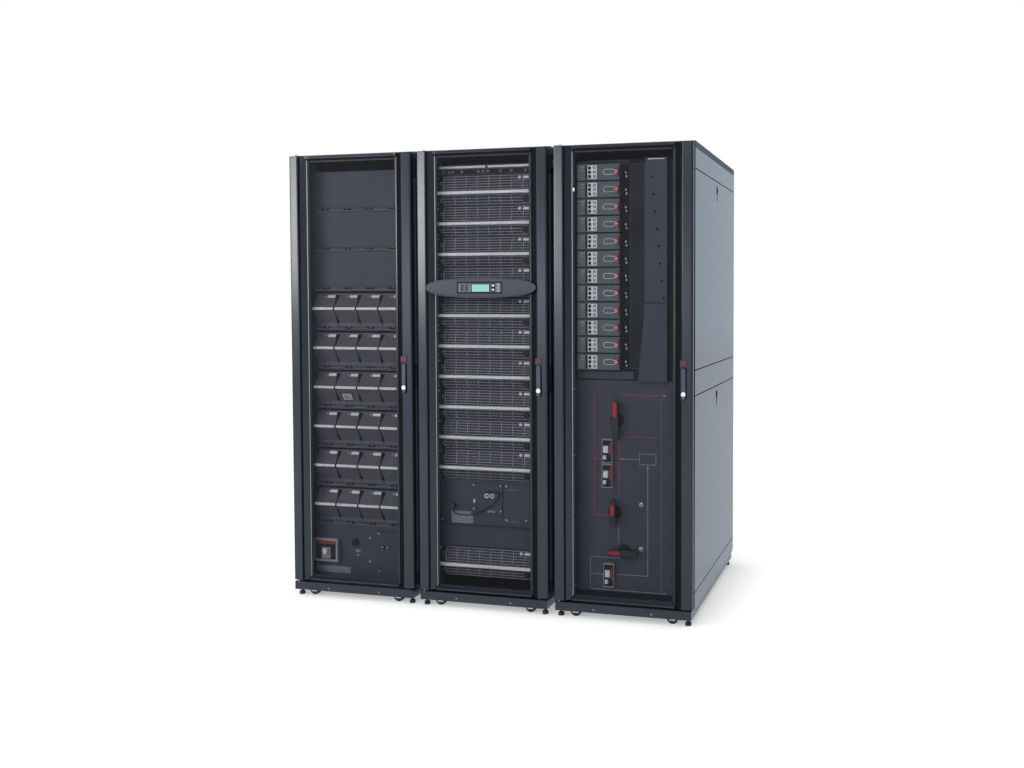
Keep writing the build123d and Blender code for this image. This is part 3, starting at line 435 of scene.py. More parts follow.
def feed(tree, node, inputs):
    """Each named input linked to an output socket, or set to a value."""
    for key, value in inputs.items():
        if isinstance(value, NodeSocket):
            tree.links.new(value, node.inputs[key])
        else:
            node.inputs[key].default_value = value


def add_node(tree, kind, inputs=None, **settings):
    """New shader node with its settings and inputs."""
    node = tree.nodes.new("ShaderNode" + kind)
    for name, value in settings.items():
        setattr(node, name, value)
    feed(tree, node, inputs or {})
    return node


def calculate(tree, operation, first, second=0.0):
    """Output of a new Math node."""
    return add_node(tree, "Math", {0: first, 1: second}, operation=operation).outputs[0]


def seam_shade_and_latch_mask(tree, point):
    """One where a point lies within half a seam of a side rail's height, which is painted shade in the seam's
    gap, or within the radius of a key latch's (y, z), which is the latch's own black face, else nought."""
    apart = add_node(tree, "SeparateXYZ", {"Vector": point}).outputs
    flat = add_node(tree, "CombineXYZ", {"Y": apart["Y"], "Z": apart["Z"]}).outputs["Vector"]
    foot, head = np.array(corners("side_rails"))[:, 2].tolist()
    low, high = (corner.tolist() for corner in corners("panel_latches"))
    y = (low[1] + high[1]) / 2
    total = 0.0
    for height in (foot + SEAM_ABOVE_FOOT, *MIDDLE_SEAMS, head - SEAM_BELOW_HEAD):
        offset = calculate(tree, "ABSOLUTE", calculate(tree, "SUBTRACT", apart["Z"], height))
        total = calculate(tree, "MAXIMUM", total, calculate(tree, "LESS_THAN", offset, SEAM_HALF))
    for z in (high[2] - UPPER_LATCH_DROP, low[2] + LOWER_LATCH_RISE):
        reach = add_node(tree, "VectorMath", {0: flat, 1: (0.0, y, z)}, operation="DISTANCE").outputs["Value"]
        total = calculate(tree, "MAXIMUM", total, calculate(tree, "LESS_THAN", reach, LATCH_RADIUS))
    return total


def finish(
    title, tone, roughness, metallic=0.0, specular=0.5, mottle=0.07, mottle_scale=7.0,
    grain=0.08, grain_scale=1500.0, stretch=(1.0, 1.0, 1.0), edge=0.0, marked=False,
):
    """Procedural finish on Object coordinates: a slow noise shades the colour, a middle one varies the gloss
    and a fine one raises the surface. An edge radius rounds the shading of sharp corners. On the sides the
    seams get painted shade and the key latches their black faces, both black and matt."""
    material = bpy.data.materials.new(title)
    material.use_nodes = True
    tree = material.node_tree
    place = add_node(tree, "TexCoord").outputs["Object"]
    mapped = add_node(tree, "Mapping", {"Vector": place, "Scale": stretch}).outputs["Vector"]

    def noise(scale, detail):
        """Output of a noise of a scale and detail on the stretched coordinates."""
        return add_node(tree, "TexNoise", {"Vector": mapped, "Scale": scale, "Detail": detail}).outputs["Fac"]

    shade = add_node(tree, "ValToRGB", {"Fac": noise(mottle_scale, SLOW)})
    for element, position, factor in zip(shade.color_ramp.elements, (0.3, 0.7), (1 - mottle, 1 + mottle)):
        element.position = position
        element.color = (*(min(1.0, channel * factor) for channel in tone), 1.0)
    base = shade.outputs["Color"]
    # Painted shade in the side seams and the latches' black faces, with the gloss taken away
    if marked:
        marks = seam_shade_and_latch_mask(tree, place)
        mixed = add_node(tree, "Mix", {"Factor": marks, "A": base, "B": SEAM_SHADE_AND_LATCH_COLOUR}, data_type="RGBA")
        base = mixed.outputs["Result"]
        specular = calculate(tree, "MULTIPLY", calculate(tree, "SUBTRACT", 1.0, marks), specular)
    gloss = add_node(tree, "MapRange", {
        "Value": noise(mottle_scale * MIDDLE_SCALE, MIDDLE),
        "To Min": max(0.02, roughness - GLOSS_RANGE), "To Max": min(1.0, roughness + GLOSS_RANGE),
    })
    fine = noise(grain_scale, FINE)
    relief = add_node(tree, "Bump", {"Strength": grain, "Distance": RELIEF, "Height": fine})
    if edge:
        rounding = add_node(tree, "Bevel", {"Radius": edge}, samples=4)
        feed(tree, relief, {"Normal": rounding.outputs["Normal"]})
    feed(tree, tree.nodes["Principled BSDF"], {
        "Base Color": base, "Metallic": metallic, "Specular IOR Level": specular,
        "Roughness": gloss.outputs["Result"], "Normal": relief.outputs["Normal"],
    })


def look(context, name):
    """Material of a finish in the table, made when it is first asked for."""
    title = "look_" + name
    if title not in bpy.data.materials:
        tone, roughness, settings = FINISHES[name]
        finish(title, getattr(context.scene.cabinet_looks.colours, tone), roughness, **settings)
    return bpy.data.materials[title]


# Making a piece

# Rounded front edge of a label, and how far a bar's ends are drawn in
LABEL_EDGE = 0.0003
END_INSET = 0.001


def make(context, name, parts, material, body="line_up", hides=()):
    """One mesh object at the origin from the points and faces of its parts, riding on a body."""
    points = np.concatenate([part[0] for part in parts])
    starts = np.cumsum([0] + [len(part[0]) for part in parts[:-1]])
    faces = []
    for start, part in zip(starts, parts):
        for rows in part[1]:
            faces.extend((rows + start).tolist())
    mesh = bpy.data.meshes.new(name)
    mesh.from_pydata(points.tolist(), [], faces)
    shell = bmesh.new()
    shell.from_mesh(mesh)
    bmesh.ops.recalc_face_normals(shell, faces=shell.faces)
    shell.to_mesh(mesh)
    shell.free()
    mesh.polygons.foreach_set("use_smooth", np.ones(len(mesh.polygons), bool))
    mesh.set_sharp_from_angle(angle=SHARP_ANGLE)
    mesh.materials.append(look(context, material))
    piece = bpy.data.objects.new(name, mesh)
    context.scene.collection.objects.link(piece)
    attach(piece, body)
    if hides:
        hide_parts(*hides)


def plate(width, height, radius, depth, edge, places):
    """Plates with plain corners, or with round ones where a radius is given."""
    outline = round_rectangle(width, height, radius) if radius else rectangle(width, height)
    return slabs(outline, places, depth, edge)


def add_plates(context, origin, table, body="line_up"):
    """One piece for each row of a table: its finish, its slot and its plates, each with width, height, corner
    radius, depth, edge and the places from the origin."""
    for name, (material, slot, *plates) in table.items():
        parts = [plate(*sizes, np.add(origin, places)) for *sizes, places in plates]
        make(context, name, parts, material, body)


# Share of the radius and height at each ring of a screw's head
SCREW_HEAD = ((1.0, 0.0), (1.0, 0.0010), (0.8, 0.0016), (0.42, 0.0016), (0.36, 0.0008))


def add_screws(context, name, places):
    """Low heads with a rounded edge and a sunk drive."""
    detail = context.scene.cabinet_looks.detail
    profile = [(share * detail.screw_radius, height) for share, height in SCREW_HEAD]
    make(context, name, [discs(profile, places, detail.round_steps)], "zinc_steel")


class CABINET_OT_paint_nodes(Operator):
    """Finish of every node of the frame, from its slot in the record"""

    bl_idname = "cabinet.paint_nodes"
    bl_label = "Paint the frame"

    own = {
        "battery_door_frame": "door_paint", "power_door_frame": "door_paint",
        "bypass_door_frame": "door_paint", "bases": "door_paint",
        "connection_panel": "panel_paint", "power_blank_panel": "panel_paint", "control_unit": "panel_paint",
        "feeder_breakers": "feeder_plastic", "feeder_back_plate": "back_steel",
        "left_side_panels": "side_paint", "right_side_panels": "side_paint", "side_rails": "side_paint",
        "roofs": "roof_paint", "roof_covers": "roof_paint",
    }

    def execute(self, context):
        for entry in frame["record"]["subparts"]:
            node = frame["nodes"][entry["node"]]
            node.data.materials.clear()
            node.data.materials.append(look(context, self.own.get(entry["node"], entry["material_slot"])))
        return {"FINISHED"}


# Doors


class CABINET_OT_door_meshes(Operator):
    """Perforated sheets of the three front doors"""

    bl_idname = "cabinet.door_meshes"
    bl_label = "Door meshes"

    def execute(self, context):
        mesh = context.scene.cabinet_looks.mesh
        for bay in BAYS:
            node = bay + "_door_mesh"
            low, high = corners(node)
            parts = lattice(low, high, mesh.pitch, mesh.bar) + border(low, high, mesh.margin)
            make(context, bay + "_mesh", parts, "perforated_steel", bay + "_door", [node])
        return {"FINISHED"}


class CABINET_OT_door_strips(Operator):
    """Painted shade as black strips in the stiles' grooves, on the right slope and on the top rail, and a
    painted highlight as a pale strip on the left lip
    """

    bl_idname = "cabinet.door_strips"
    bl_label = "Door strips"

    face = 0.046
    groove = 0.006
    groove_depth = 0.009
    groove_strip = 0.0006
    slope_start = np.array([0.052, 0.009])
    slope_end = np.array([0.077, 0.025])
    lip = 0.005
    lip_proud = 0.004
    lip_width = 0.0030
    thin = 0.0004
    rail_flat = 0.010
    rail_setback = 0.012
    rail_strip = 0.0005
    gap = 0.002

    def execute(self, context):
        gap = self.gap
        front = corners("power_door_frame")[0][1]
        run = self.slope_end - self.slope_start
        length = np.linalg.norm(run)
        normal = np.array([-run[1], -run[0], 0.0]) / length
        for bay in BAYS:
            low, high = corners(bay + "_door_frame")
            mesh_low, mesh_high = corners(bay + "_door_mesh")
            grip_low, grip_high = corners(bay + "_door_handle")
            foot, head = low[2] + gap, high[2] - gap
            inset = self.face + self.groove / 2
            left, right, y = low[0] + inset, high[0] - inset, front + self.groove_depth
            # Painted shade: black strips in the grooves of both stiles
            grooves = bars(
                [[left, y, foot], [right, y, foot], [right, y, grip_high[2] + gap]],
                [[left, y, head], [right, y, grip_low[2] - gap], [right, y, head]],
                FRONT, self.groove, self.groove_strip,
            )
            # Painted shade: a black strip on the right stile's slope
            x, y = (self.slope_start + self.slope_end) / 2 * [-1, 1] + [high[0], front]
            slope = bars([x, y, foot], [x, y, head], normal, length - gap, self.thin)
            # Painted highlight: a pale strip on the left lip, where light catches it
            x, y = mesh_low[0] - self.lip / 2, mesh_low[1] - self.lip_proud
            lip = bars([x, y, mesh_low[2] + gap], [x, y, mesh_high[2] - gap], FRONT, self.lip_width, self.thin)
            # Painted shade: a dark strip on the top rail's flat
            y, z = front + self.rail_setback, high[2] - self.rail_flat / 2
            start, end = [mesh_low[0] + gap, y, z], [mesh_high[0] - gap, y, z]
            rail = bars(start, end, FRONT, self.rail_flat - gap, self.rail_strip)
            for name, part, material, slot in (
                ("_groove_strips", grooves, "latch_plastic", "black_rubber"),
                ("_slope_strip", slope, "latch_plastic", "charcoal_paint"),
                ("_lip_strip", lip, "trim_strip", "charcoal_paint"),
                ("_rail_strip", rail, "module_paint", "charcoal_paint"),
            ):
                make(context, bay + name, [part], material, bay + "_door")
        return {"FINISHED"}


def arched_cap(width, height, arch, radius=0.003, share=0.36):
    """Rounded square whose lower edge is cut by half an ellipse, its half width a share of the width."""
    top = round_rectangle(width, height, radius)
    angle = np.linspace(np.pi, 0, 12)
    rise = np.stack([share * width * np.cos(angle), arch * np.sin(angle) - height / 2], axis=1)
    feet = np.array([[[-width / 2, -height / 2]], [[width / 2, -height / 2]]])
    return np.concatenate([top[top[:, 1] > 0], feet[0], rise, feet[1]])


class CABINET_OT_door_handles(Operator):
    """Red cap, lever face and lock ring of each door handle"""

    bl_idname = "cabinet.door_handles"
    bl_label = "Door handles"

    cap_height = 0.027
    cap_over = 0.0008
    cap_arch = 0.009
    cap_back = 0.0130
    cap_depth = 0.0106
    cap_edge = 0.0010
    lever_depth = 0.0012
    lever_edge = 0.0011
    lever_width = 0.0175
    lever_sunk = 0.0020
    lever_foot = 0.0010
    lever_head = 0.0050
    lock_rise = 0.024
    ring = ((0.0094, 0.0), (0.0094, 0.0024), (0.0086, 0.0030), (0.0052, 0.0030), (0.0046, 0.0022))
    keyway = (0.0016, 0.0056, 0, 0.0003, 0.0001)

    def execute(self, context):
        steps = context.scene.cabinet_looks.detail.round_steps
        for bay in BAYS:
            low, high = corners(bay + "_door_handle")
            x = (low[0] + high[0]) / 2
            width, height = high[0] - low[0] + self.cap_over, self.cap_height + self.cap_over
            place = [x, low[1] + self.cap_back, high[2] - self.cap_height / 2]
            cap = slabs(arched_cap(width, height, self.cap_arch), place, self.cap_depth, self.cap_edge)
            y = low[1] + self.lever_sunk
            foot, head = low[2] + self.lever_foot, high[2] - self.cap_height - self.lever_head
            grip = stadium(self.lever_width, head - foot)
            lever = slabs(grip, [x, y, (foot + head) / 2], self.lever_depth, self.lever_edge)
            lock = [x, y, low[2] + self.lock_rise]
            keyway = plate(*self.keyway, np.add(lock, [0, -self.ring[-1][1], 0]))
            for name, part, material in (
                ("_handle_cap", cap, "cap_plastic"), ("_handle_lever", lever, "cover_paint"),
                ("_handle_lock", discs(self.ring, lock, steps), "toggle_plastic"),
                ("_handle_keyway", keyway, "key_plastic"),
            ):
                make(context, bay + name, [part], material, bay + "_door")
        return {"FINISHED"}


def rays_to_oval(angle, width, height, power):
    """Distance from the centre to a full-ended oval: the sum of |x / half width| and |z / half height|, each
    raised to the power, is one."""
    share = np.abs(np.cos(angle) * 2 / width) ** power + np.abs(np.sin(angle) * 2 / height) ** power
    return share ** (-1 / power)


def rays_to_rectangle(angle, width, height):
    """Distance from the centre to the sides of a rectangle."""
    with np.errstate(divide="ignore"):
        return np.minimum(width / 2 / np.abs(np.cos(angle)), height / 2 / np.abs(np.sin(angle)))


class CABINET_OT_display(Operator):
    """Domed bezel, panel, screen frame, lamps and keys of the display"""

    bl_idname = "cabinet.display"
    bl_label = "Display"

    box = (0.380, 0.050)
    box_edge = 0.0005
    dome_levels = 7
    edge_share = 0.45
    fullness = 2.3
    pocket = 0.0040
    rim = 0.0065
    screen_rim = (0.008, 0.007)
    lamp_columns = (-0.079, -0.060)
    lamp_rows = np.linspace(-0.011, 0.011, 4)
    lamp = ((0.0016, 0), (0.0012, 0.0003))
    lamp_plate = (0.011, 0.030, 0, 0.0006, 0.0002)
    key_lift = 0.0002
    key_column = 0.085
    key_rows = (-0.014, 0.0, 0.014)
    pad = (0.022, 0.040)
    pad_column = 0.062
    pad_depth = 0.0005
    pad_edge = 0.0002
    arrow = np.array([[-0.0065, -0.0035], [0.0065, -0.0035], [0.0, 0.0055]])
    arrow_rise = 0.0095
    # Depth and edge of an arrow
    arrow_plate = (0.0002, 0.0001)

    def bezel(self):
        """Rings from the oval inwards to the screen's rectangle; the height follows the square root
        of the share of the way, so the edge is round and the middle nearly flat."""
        low, high = corners("display_bezel")
        screen = np.ptp(np.array(corners("display_panel")), axis=0)
        back = corners("power_door_frame")[0][1]
        rise = back - low[1]
        corner = np.arctan2(screen[2], screen[0])
        turns = (0, corner, np.pi - corner, np.pi + corner, 2 * np.pi - corner, 2 * np.pi)
        counts = (8, 40, 16, 40, 8)
        angle = np.concatenate([
            np.linspace(start, end, count, endpoint=False)
            for start, end, count in zip(turns, turns[1:], counts)
        ])
        outer = rays_to_oval(angle, high[0] - low[0], high[2] - low[2], self.fullness)[:, None]
        inner = rays_to_rectangle(angle, screen[0], screen[2])[:, None]
        direction = np.stack([np.cos(angle), np.sin(angle)], axis=1)
        levels = [(direction * outer, 0.0)]
        for step in np.linspace(0, 1, self.dome_levels):
            height = rise * (self.edge_share + (1 - self.edge_share) * np.sqrt(step))
            levels.append((direction * (outer + (inner - outer) * step), height))
        levels.append((direction * inner, rise - self.pocket))
        centre = np.array([(low[0] + high[0]) / 2, back, (low[2] + high[2]) / 2])
        return solids(centre + stacked(levels)[None])

    def execute(self, context):
        steps = context.scene.cabinet_looks.detail.round_steps
        door = "power_door"
        low, high = corners("display_bezel")
        seat = [(low[0] + high[0]) / 2, high[1], (low[2] + high[2]) / 2]
        setback = corners("power_door_mesh")[0][1] - corners("power_door_frame")[0][1]
        box = slabs(rectangle(*self.box), seat, setback, self.box_edge)
        dome = [self.bezel(), box]
        make(context, "display_dome", dome, "display_plastic", door, ["display_bezel"])

        low, high = corners("display_panel")
        face = np.array([(low[0] + high[0]) / 2, low[1], (low[2] + high[2]) / 2])
        inner = high - low - 2 * self.rim
        screen = np.ptp(np.array(corners("display_lcd")), axis=0)[[0, 2]] + self.screen_rim
        screen_place = (middle("display_lcd") - face) * [1, 0, 1]
        columns = [(x, 0, 0) for x in self.lamp_columns]
        keys = [(self.key_column, -self.key_lift, z) for z in self.key_rows]
        add_plates(context, face, {
            "display_plate": (
                "display_plate", "display_plastic", (inner[0], inner[2], 0, 0.0004, 0.0002, [(0, 0, 0)]),
            ),
            "display_screen_frame": (
                "display_black", "display_black", (*screen, 0, 0.0007, 0.0002, [screen_place]),
                (*self.lamp_plate, columns),
            ),
            "display_buttons": ("grey_line", "key_plastic", (0.009, 0.009, 0.002, 0.0006, 0.0002, keys)),
        }, door)
        x, z = pairs(self.lamp_columns, self.lamp_rows)
        lamps = discs(self.lamp, face + points_at(x, -self.lamp_plate[3], z), steps)
        make(context, "display_lamps", [lamps], "grey_line", door)
        place = face + [self.pad_column, -self.key_lift, 0]
        pad = slabs(stadium(*self.pad), place, self.pad_depth, self.pad_edge)
        make(context, "display_pad", [pad], "key_plastic", door, ["display_keys"])
        arrows = [
            slabs(side * self.arrow, place + [0, -self.pad_depth, side * self.arrow_rise], *self.arrow_plate)
            for side in (1, -1)
        ]
        make(context, "display_arrows", arrows, "label_white", door)
        return {"FINISHED"}


# Battery bay


class CABINET_OT_battery_rows(Operator):
    """Pull bars, bare labels and shelf clips of the battery modules, with painted shade in the gaps between
    bars and between noses, and a painted highlight on each clip
    """

    bl_idname = "cabinet.battery_rows"
    bl_label = "Battery rows"

    modules = 4
    module_gap = 0.003
    nose_centre = 0.082
    nose_flat = 0.012
    nose_head = 0.144
    nose_foot = 0.016
    head_sunk = 0.006
    bar_end = 0.0035
    bar_corner = 0.003
    bar_inset = 0.0012
    label = (0.038, 0.013)
    label_inset = 0.030
    label_share = 0.86
    tag = (0.010, 0.007)
    tag_offset = -0.030
    clip = (0.034, 0.010)
    clip_depth = 0.006
    clip_drop = 0.004
    clip_edge = 0.002
    # Black plates of painted shade in the gaps between the pull bars and behind the gaps between the noses
    notch_width = 0.0068
    notch_edge = 0.0004
    shade = (0.0230, 0.126, 0, 0.0008, 0.0002)
    shade_rise = 0.080
    # A painted highlight: a small pale plate on each clip
    spot = (0.010, 0.003, 0, 0.0006, 0.0002)
    spot_shift = 0.004
    spot_drop = 0.002
    edge_profile = (0.003, 0.0030)
    edge_drop = 0.0102
    rail_profile = (0.006, 0.006)
    rail_drop = 0.0155
    rail_sunk = 0.002
    vent_half = (0.022, 0.015)
    vent_depth = 0.0016
    vent_rise = 0.040
    vent_setback = 0.0115
    vent_border = 0.003
    vent_row, vent_column = 3, 1

    def execute(self, context):
        looks = context.scene.cabinet_looks
        low, high = corners("battery_modules")
        pitch = (high[0] - low[0] + self.module_gap) / self.modules
        edges = low[0] - self.module_gap / 2 + pitch * np.arange(self.modules + 1)
        centres = edges[:-1] + pitch / 2
        rows = SHELF_FOOT + TIER_PITCH * np.arange(ROW_COUNT)
        x, z = pairs(centres, rows)
        bar_low, tip = (corner[1] for corner in corners("battery_pull_bars"))
        depth = tip - bar_low
        half = pitch / 2 - self.bar_end
        profile = bar_profile(depth, self.nose_flat, self.bar_corner)
        bar = beams(profile, -half, half, points_at(x, tip, z + self.nose_centre), self.bar_inset)
        make(context, "battery_bars", [bar], "bar_aluminium", hides=["battery_pull_bars"])

        # Painted shade: black plates fill the gaps between the bars, and dark plates stand where the noses part
        back = FACE_Y + self.head_sunk
        edge_x, edge_z = pairs(edges[1:-1], rows)
        places = points_at(edge_x, tip, edge_z + self.nose_centre)
        bar_gap_shade = plate(self.notch_width, self.nose_flat, 0, depth, self.notch_edge, places)
        shade = plate(*self.shade, points_at(edge_x, back, edge_z + self.shade_rise))
        make(context, "battery_gaps", [bar_gap_shade, shade], "latch_plastic")

        # Labels lie on the upper slope of the nose, from its tip back to the head
        shoulder = self.nose_centre + self.nose_flat / 2
        fall = self.nose_head - shoulder
        slope = np.arctan2(back - tip, fall)
        label_y = tip + self.label_share * (back - tip)
        places = points_at(x + pitch / 2 - self.label_inset, label_y, z + shoulder + self.label_share * fall)
        for name, outline, shift, material in (
            ("battery_labels", self.label, 0.0, "label_white"),
            ("battery_tags", self.tag, self.tag_offset, "grey_line"),
        ):
            parts = leaning(rectangle(*outline), places + [shift, 0, 0], looks.detail.plate, LABEL_EDGE, -slope)
            make(context, name, parts, material)

        tiers = SHELF_FOOT + TIER_PITCH * np.arange(TIER_COUNT)
        x, z = pairs(centres, tiers)
        places = points_at(x, FACE_Y, z - self.clip_drop)
        clip = slabs(stadium(*self.clip), places, self.clip_depth, self.clip_edge)
        make(context, "battery_clips", [clip], "latch_plastic")
        # Painted highlight on each clip, and a pale bead along each shelf
        places = points_at(x + self.spot_shift, FACE_Y - self.clip_depth, z - self.spot_drop)
        spot = plate(*self.spot, places)
        places = points_at(0.0, FACE_Y, tiers - self.edge_drop)
        edge = beams(half_round(*self.edge_profile), low[0], high[0], places, END_INSET)
        make(context, "battery_clip_spots", [spot, edge], "trim_strip")
        places = points_at(0.0, FACE_Y + self.rail_sunk, tiers - self.rail_drop)
        rail = beams(half_round(*self.rail_profile), low[0], high[0], places, END_INSET)
        make(context, "battery_shelf_rails", [rail], "battery_plastic")

        # One module has a vent under its bar
        wide, tall = self.vent_half
        under = tip + self.vent_setback
        about = np.array([centres[self.vent_column], under, rows[self.vent_row] + self.vent_rise])
        vent_low, vent_high = about - [wide, self.vent_depth, tall], about + [wide, 0, tall]
        lean = np.arctan2(back - tip, self.nose_centre - self.nose_flat / 2 - self.nose_foot)
        vent = lattice(vent_low, vent_high, looks.mesh.pitch, 2 * looks.mesh.bar)
        vent += border(vent_low, vent_high, self.vent_border)
        parts = [spun(part, lean, "X", about) for part in vent]
        make(context, "battery_vent", parts, "toggle_plastic")
        return {"FINISHED"}


class CABINET_OT_battery_panel(Operator):
    """Breaker face, socket, ports, label strip and screws below the battery rows"""

    bl_idname = "cabinet.battery_panel"
    bl_label = "Battery lower panel"

    breaker = {
        "main_breaker_face": (
            "module_paint", "breaker_plastic", (0.100, 0.084, 0.004, 0.0020, 0.0010, [(0, 0, 0)]),
        ),
        "main_breaker_stripe": (
            "lever_plastic", "breaker_plastic", (0.092, 0.008, 0, 0.0012, 0.0004, [(0, -0.0020, 0.034)]),
        ),
        "main_breaker_seat": (
            "grey_line", "breaker_plastic", (0.046, 0.052, 0.004, 0.0030, 0.0015, [(0.004, -0.0020, -0.012)]),
        ),
        "main_breaker_toggle": (
            "toggle_plastic", "breaker_plastic",
            (0.020, 0.026, 0.004, 0.0120, 0.0030, [(0.006, -0.0050, -0.004)]),
        ),
    }
    ports = {
        "battery_ports": (
            "display_black", "breaker_plastic",
            (0.018, 0.015, 0, 0.0040, 0.0006, [(0.105, -0.0025, 0.226), (0.131, -0.0025, 0.226)]),
        ),
        "battery_port_faces": (
            "grey_line", "breaker_plastic",
            (0.012, 0.009, 0, 0.0004, 0.0002, [(0.105, -0.0065, 0.226), (0.131, -0.0065, 0.226)]),
        ),
    }
    cap = ((0.0175, 0.0), (0.0175, 0.003), (0.0150, 0.0045))
    socket = ((0.0142, 0.0), (0.0142, 0.0012), (0.0110, 0.0018), (0.0100, 0.0004))
    socket_place = (-0.032, 0.239)
    cap_lift, socket_lift = 0.0001, 0.010
    port_plate = (0.132, 0.190, 0.003, 0.0025, 0.0008)
    port_place = (0.142, 0.200)
    ledge_z = 0.298
    ledge_round = (0.006, 0.006)
    screws = (
        (-0.226, 0.305), (-0.226, 0.130), (0.226, 0.305), (0.226, 0.090), (-0.020, 0.180), (0.040, 0.155),
        (0.040, 0.262),
    )
    port_screws = ((0.086, 0.285), (0.198, 0.285), (0.086, 0.115), (0.198, 0.115))

    def execute(self, context):
        detail = context.scene.cabinet_looks.detail
        x = BAY_X["battery"]
        origin = np.array([x, FACE_Y, 0.0])
        face = middle("battery_breaker")
        face[1] = corners("battery_breaker")[0][1]
        add_plates(context, face, self.breaker)
        add_plates(context, origin, {"battery_label_strip": (
            "trim_strip", "breaker_plastic", (0.174, 0.030, 0, detail.plate, LABEL_EDGE, [(-0.146, 0, 0.108)]),
            (0.026, 0.014, 0, detail.plate, LABEL_EDGE, [(-0.020, 0, 0.200)]),
        )})
        socket_x, socket_z = self.socket_place
        rounds = [
            discs(profile, origin + [socket_x, y, socket_z], detail.round_steps)
            for profile, y in ((self.cap, -self.cap_lift), (self.socket, -self.socket_lift))
        ]
        make(context, "battery_socket", rounds, "key_plastic")
        port_x, port_z = self.port_place
        half = self.port_plate[0] / 2
        parts = [
            plate(*self.port_plate, origin + [port_x, 0, port_z]),
            beams(half_round(*self.ledge_round), -half, half, [origin + [port_x, 0, self.ledge_z]], END_INSET),
        ]
        make(context, "battery_port_plate", parts, "cover_paint")
        add_plates(context, origin, self.ports)
        spots = [(px, 0, pz) for px, pz in self.screws]
        spots += [(px, -self.port_plate[3], pz) for px, pz in self.port_screws]
        add_screws(context, "battery_panel_screws", origin + spots)
        return {"FINISHED"}


# Power bay


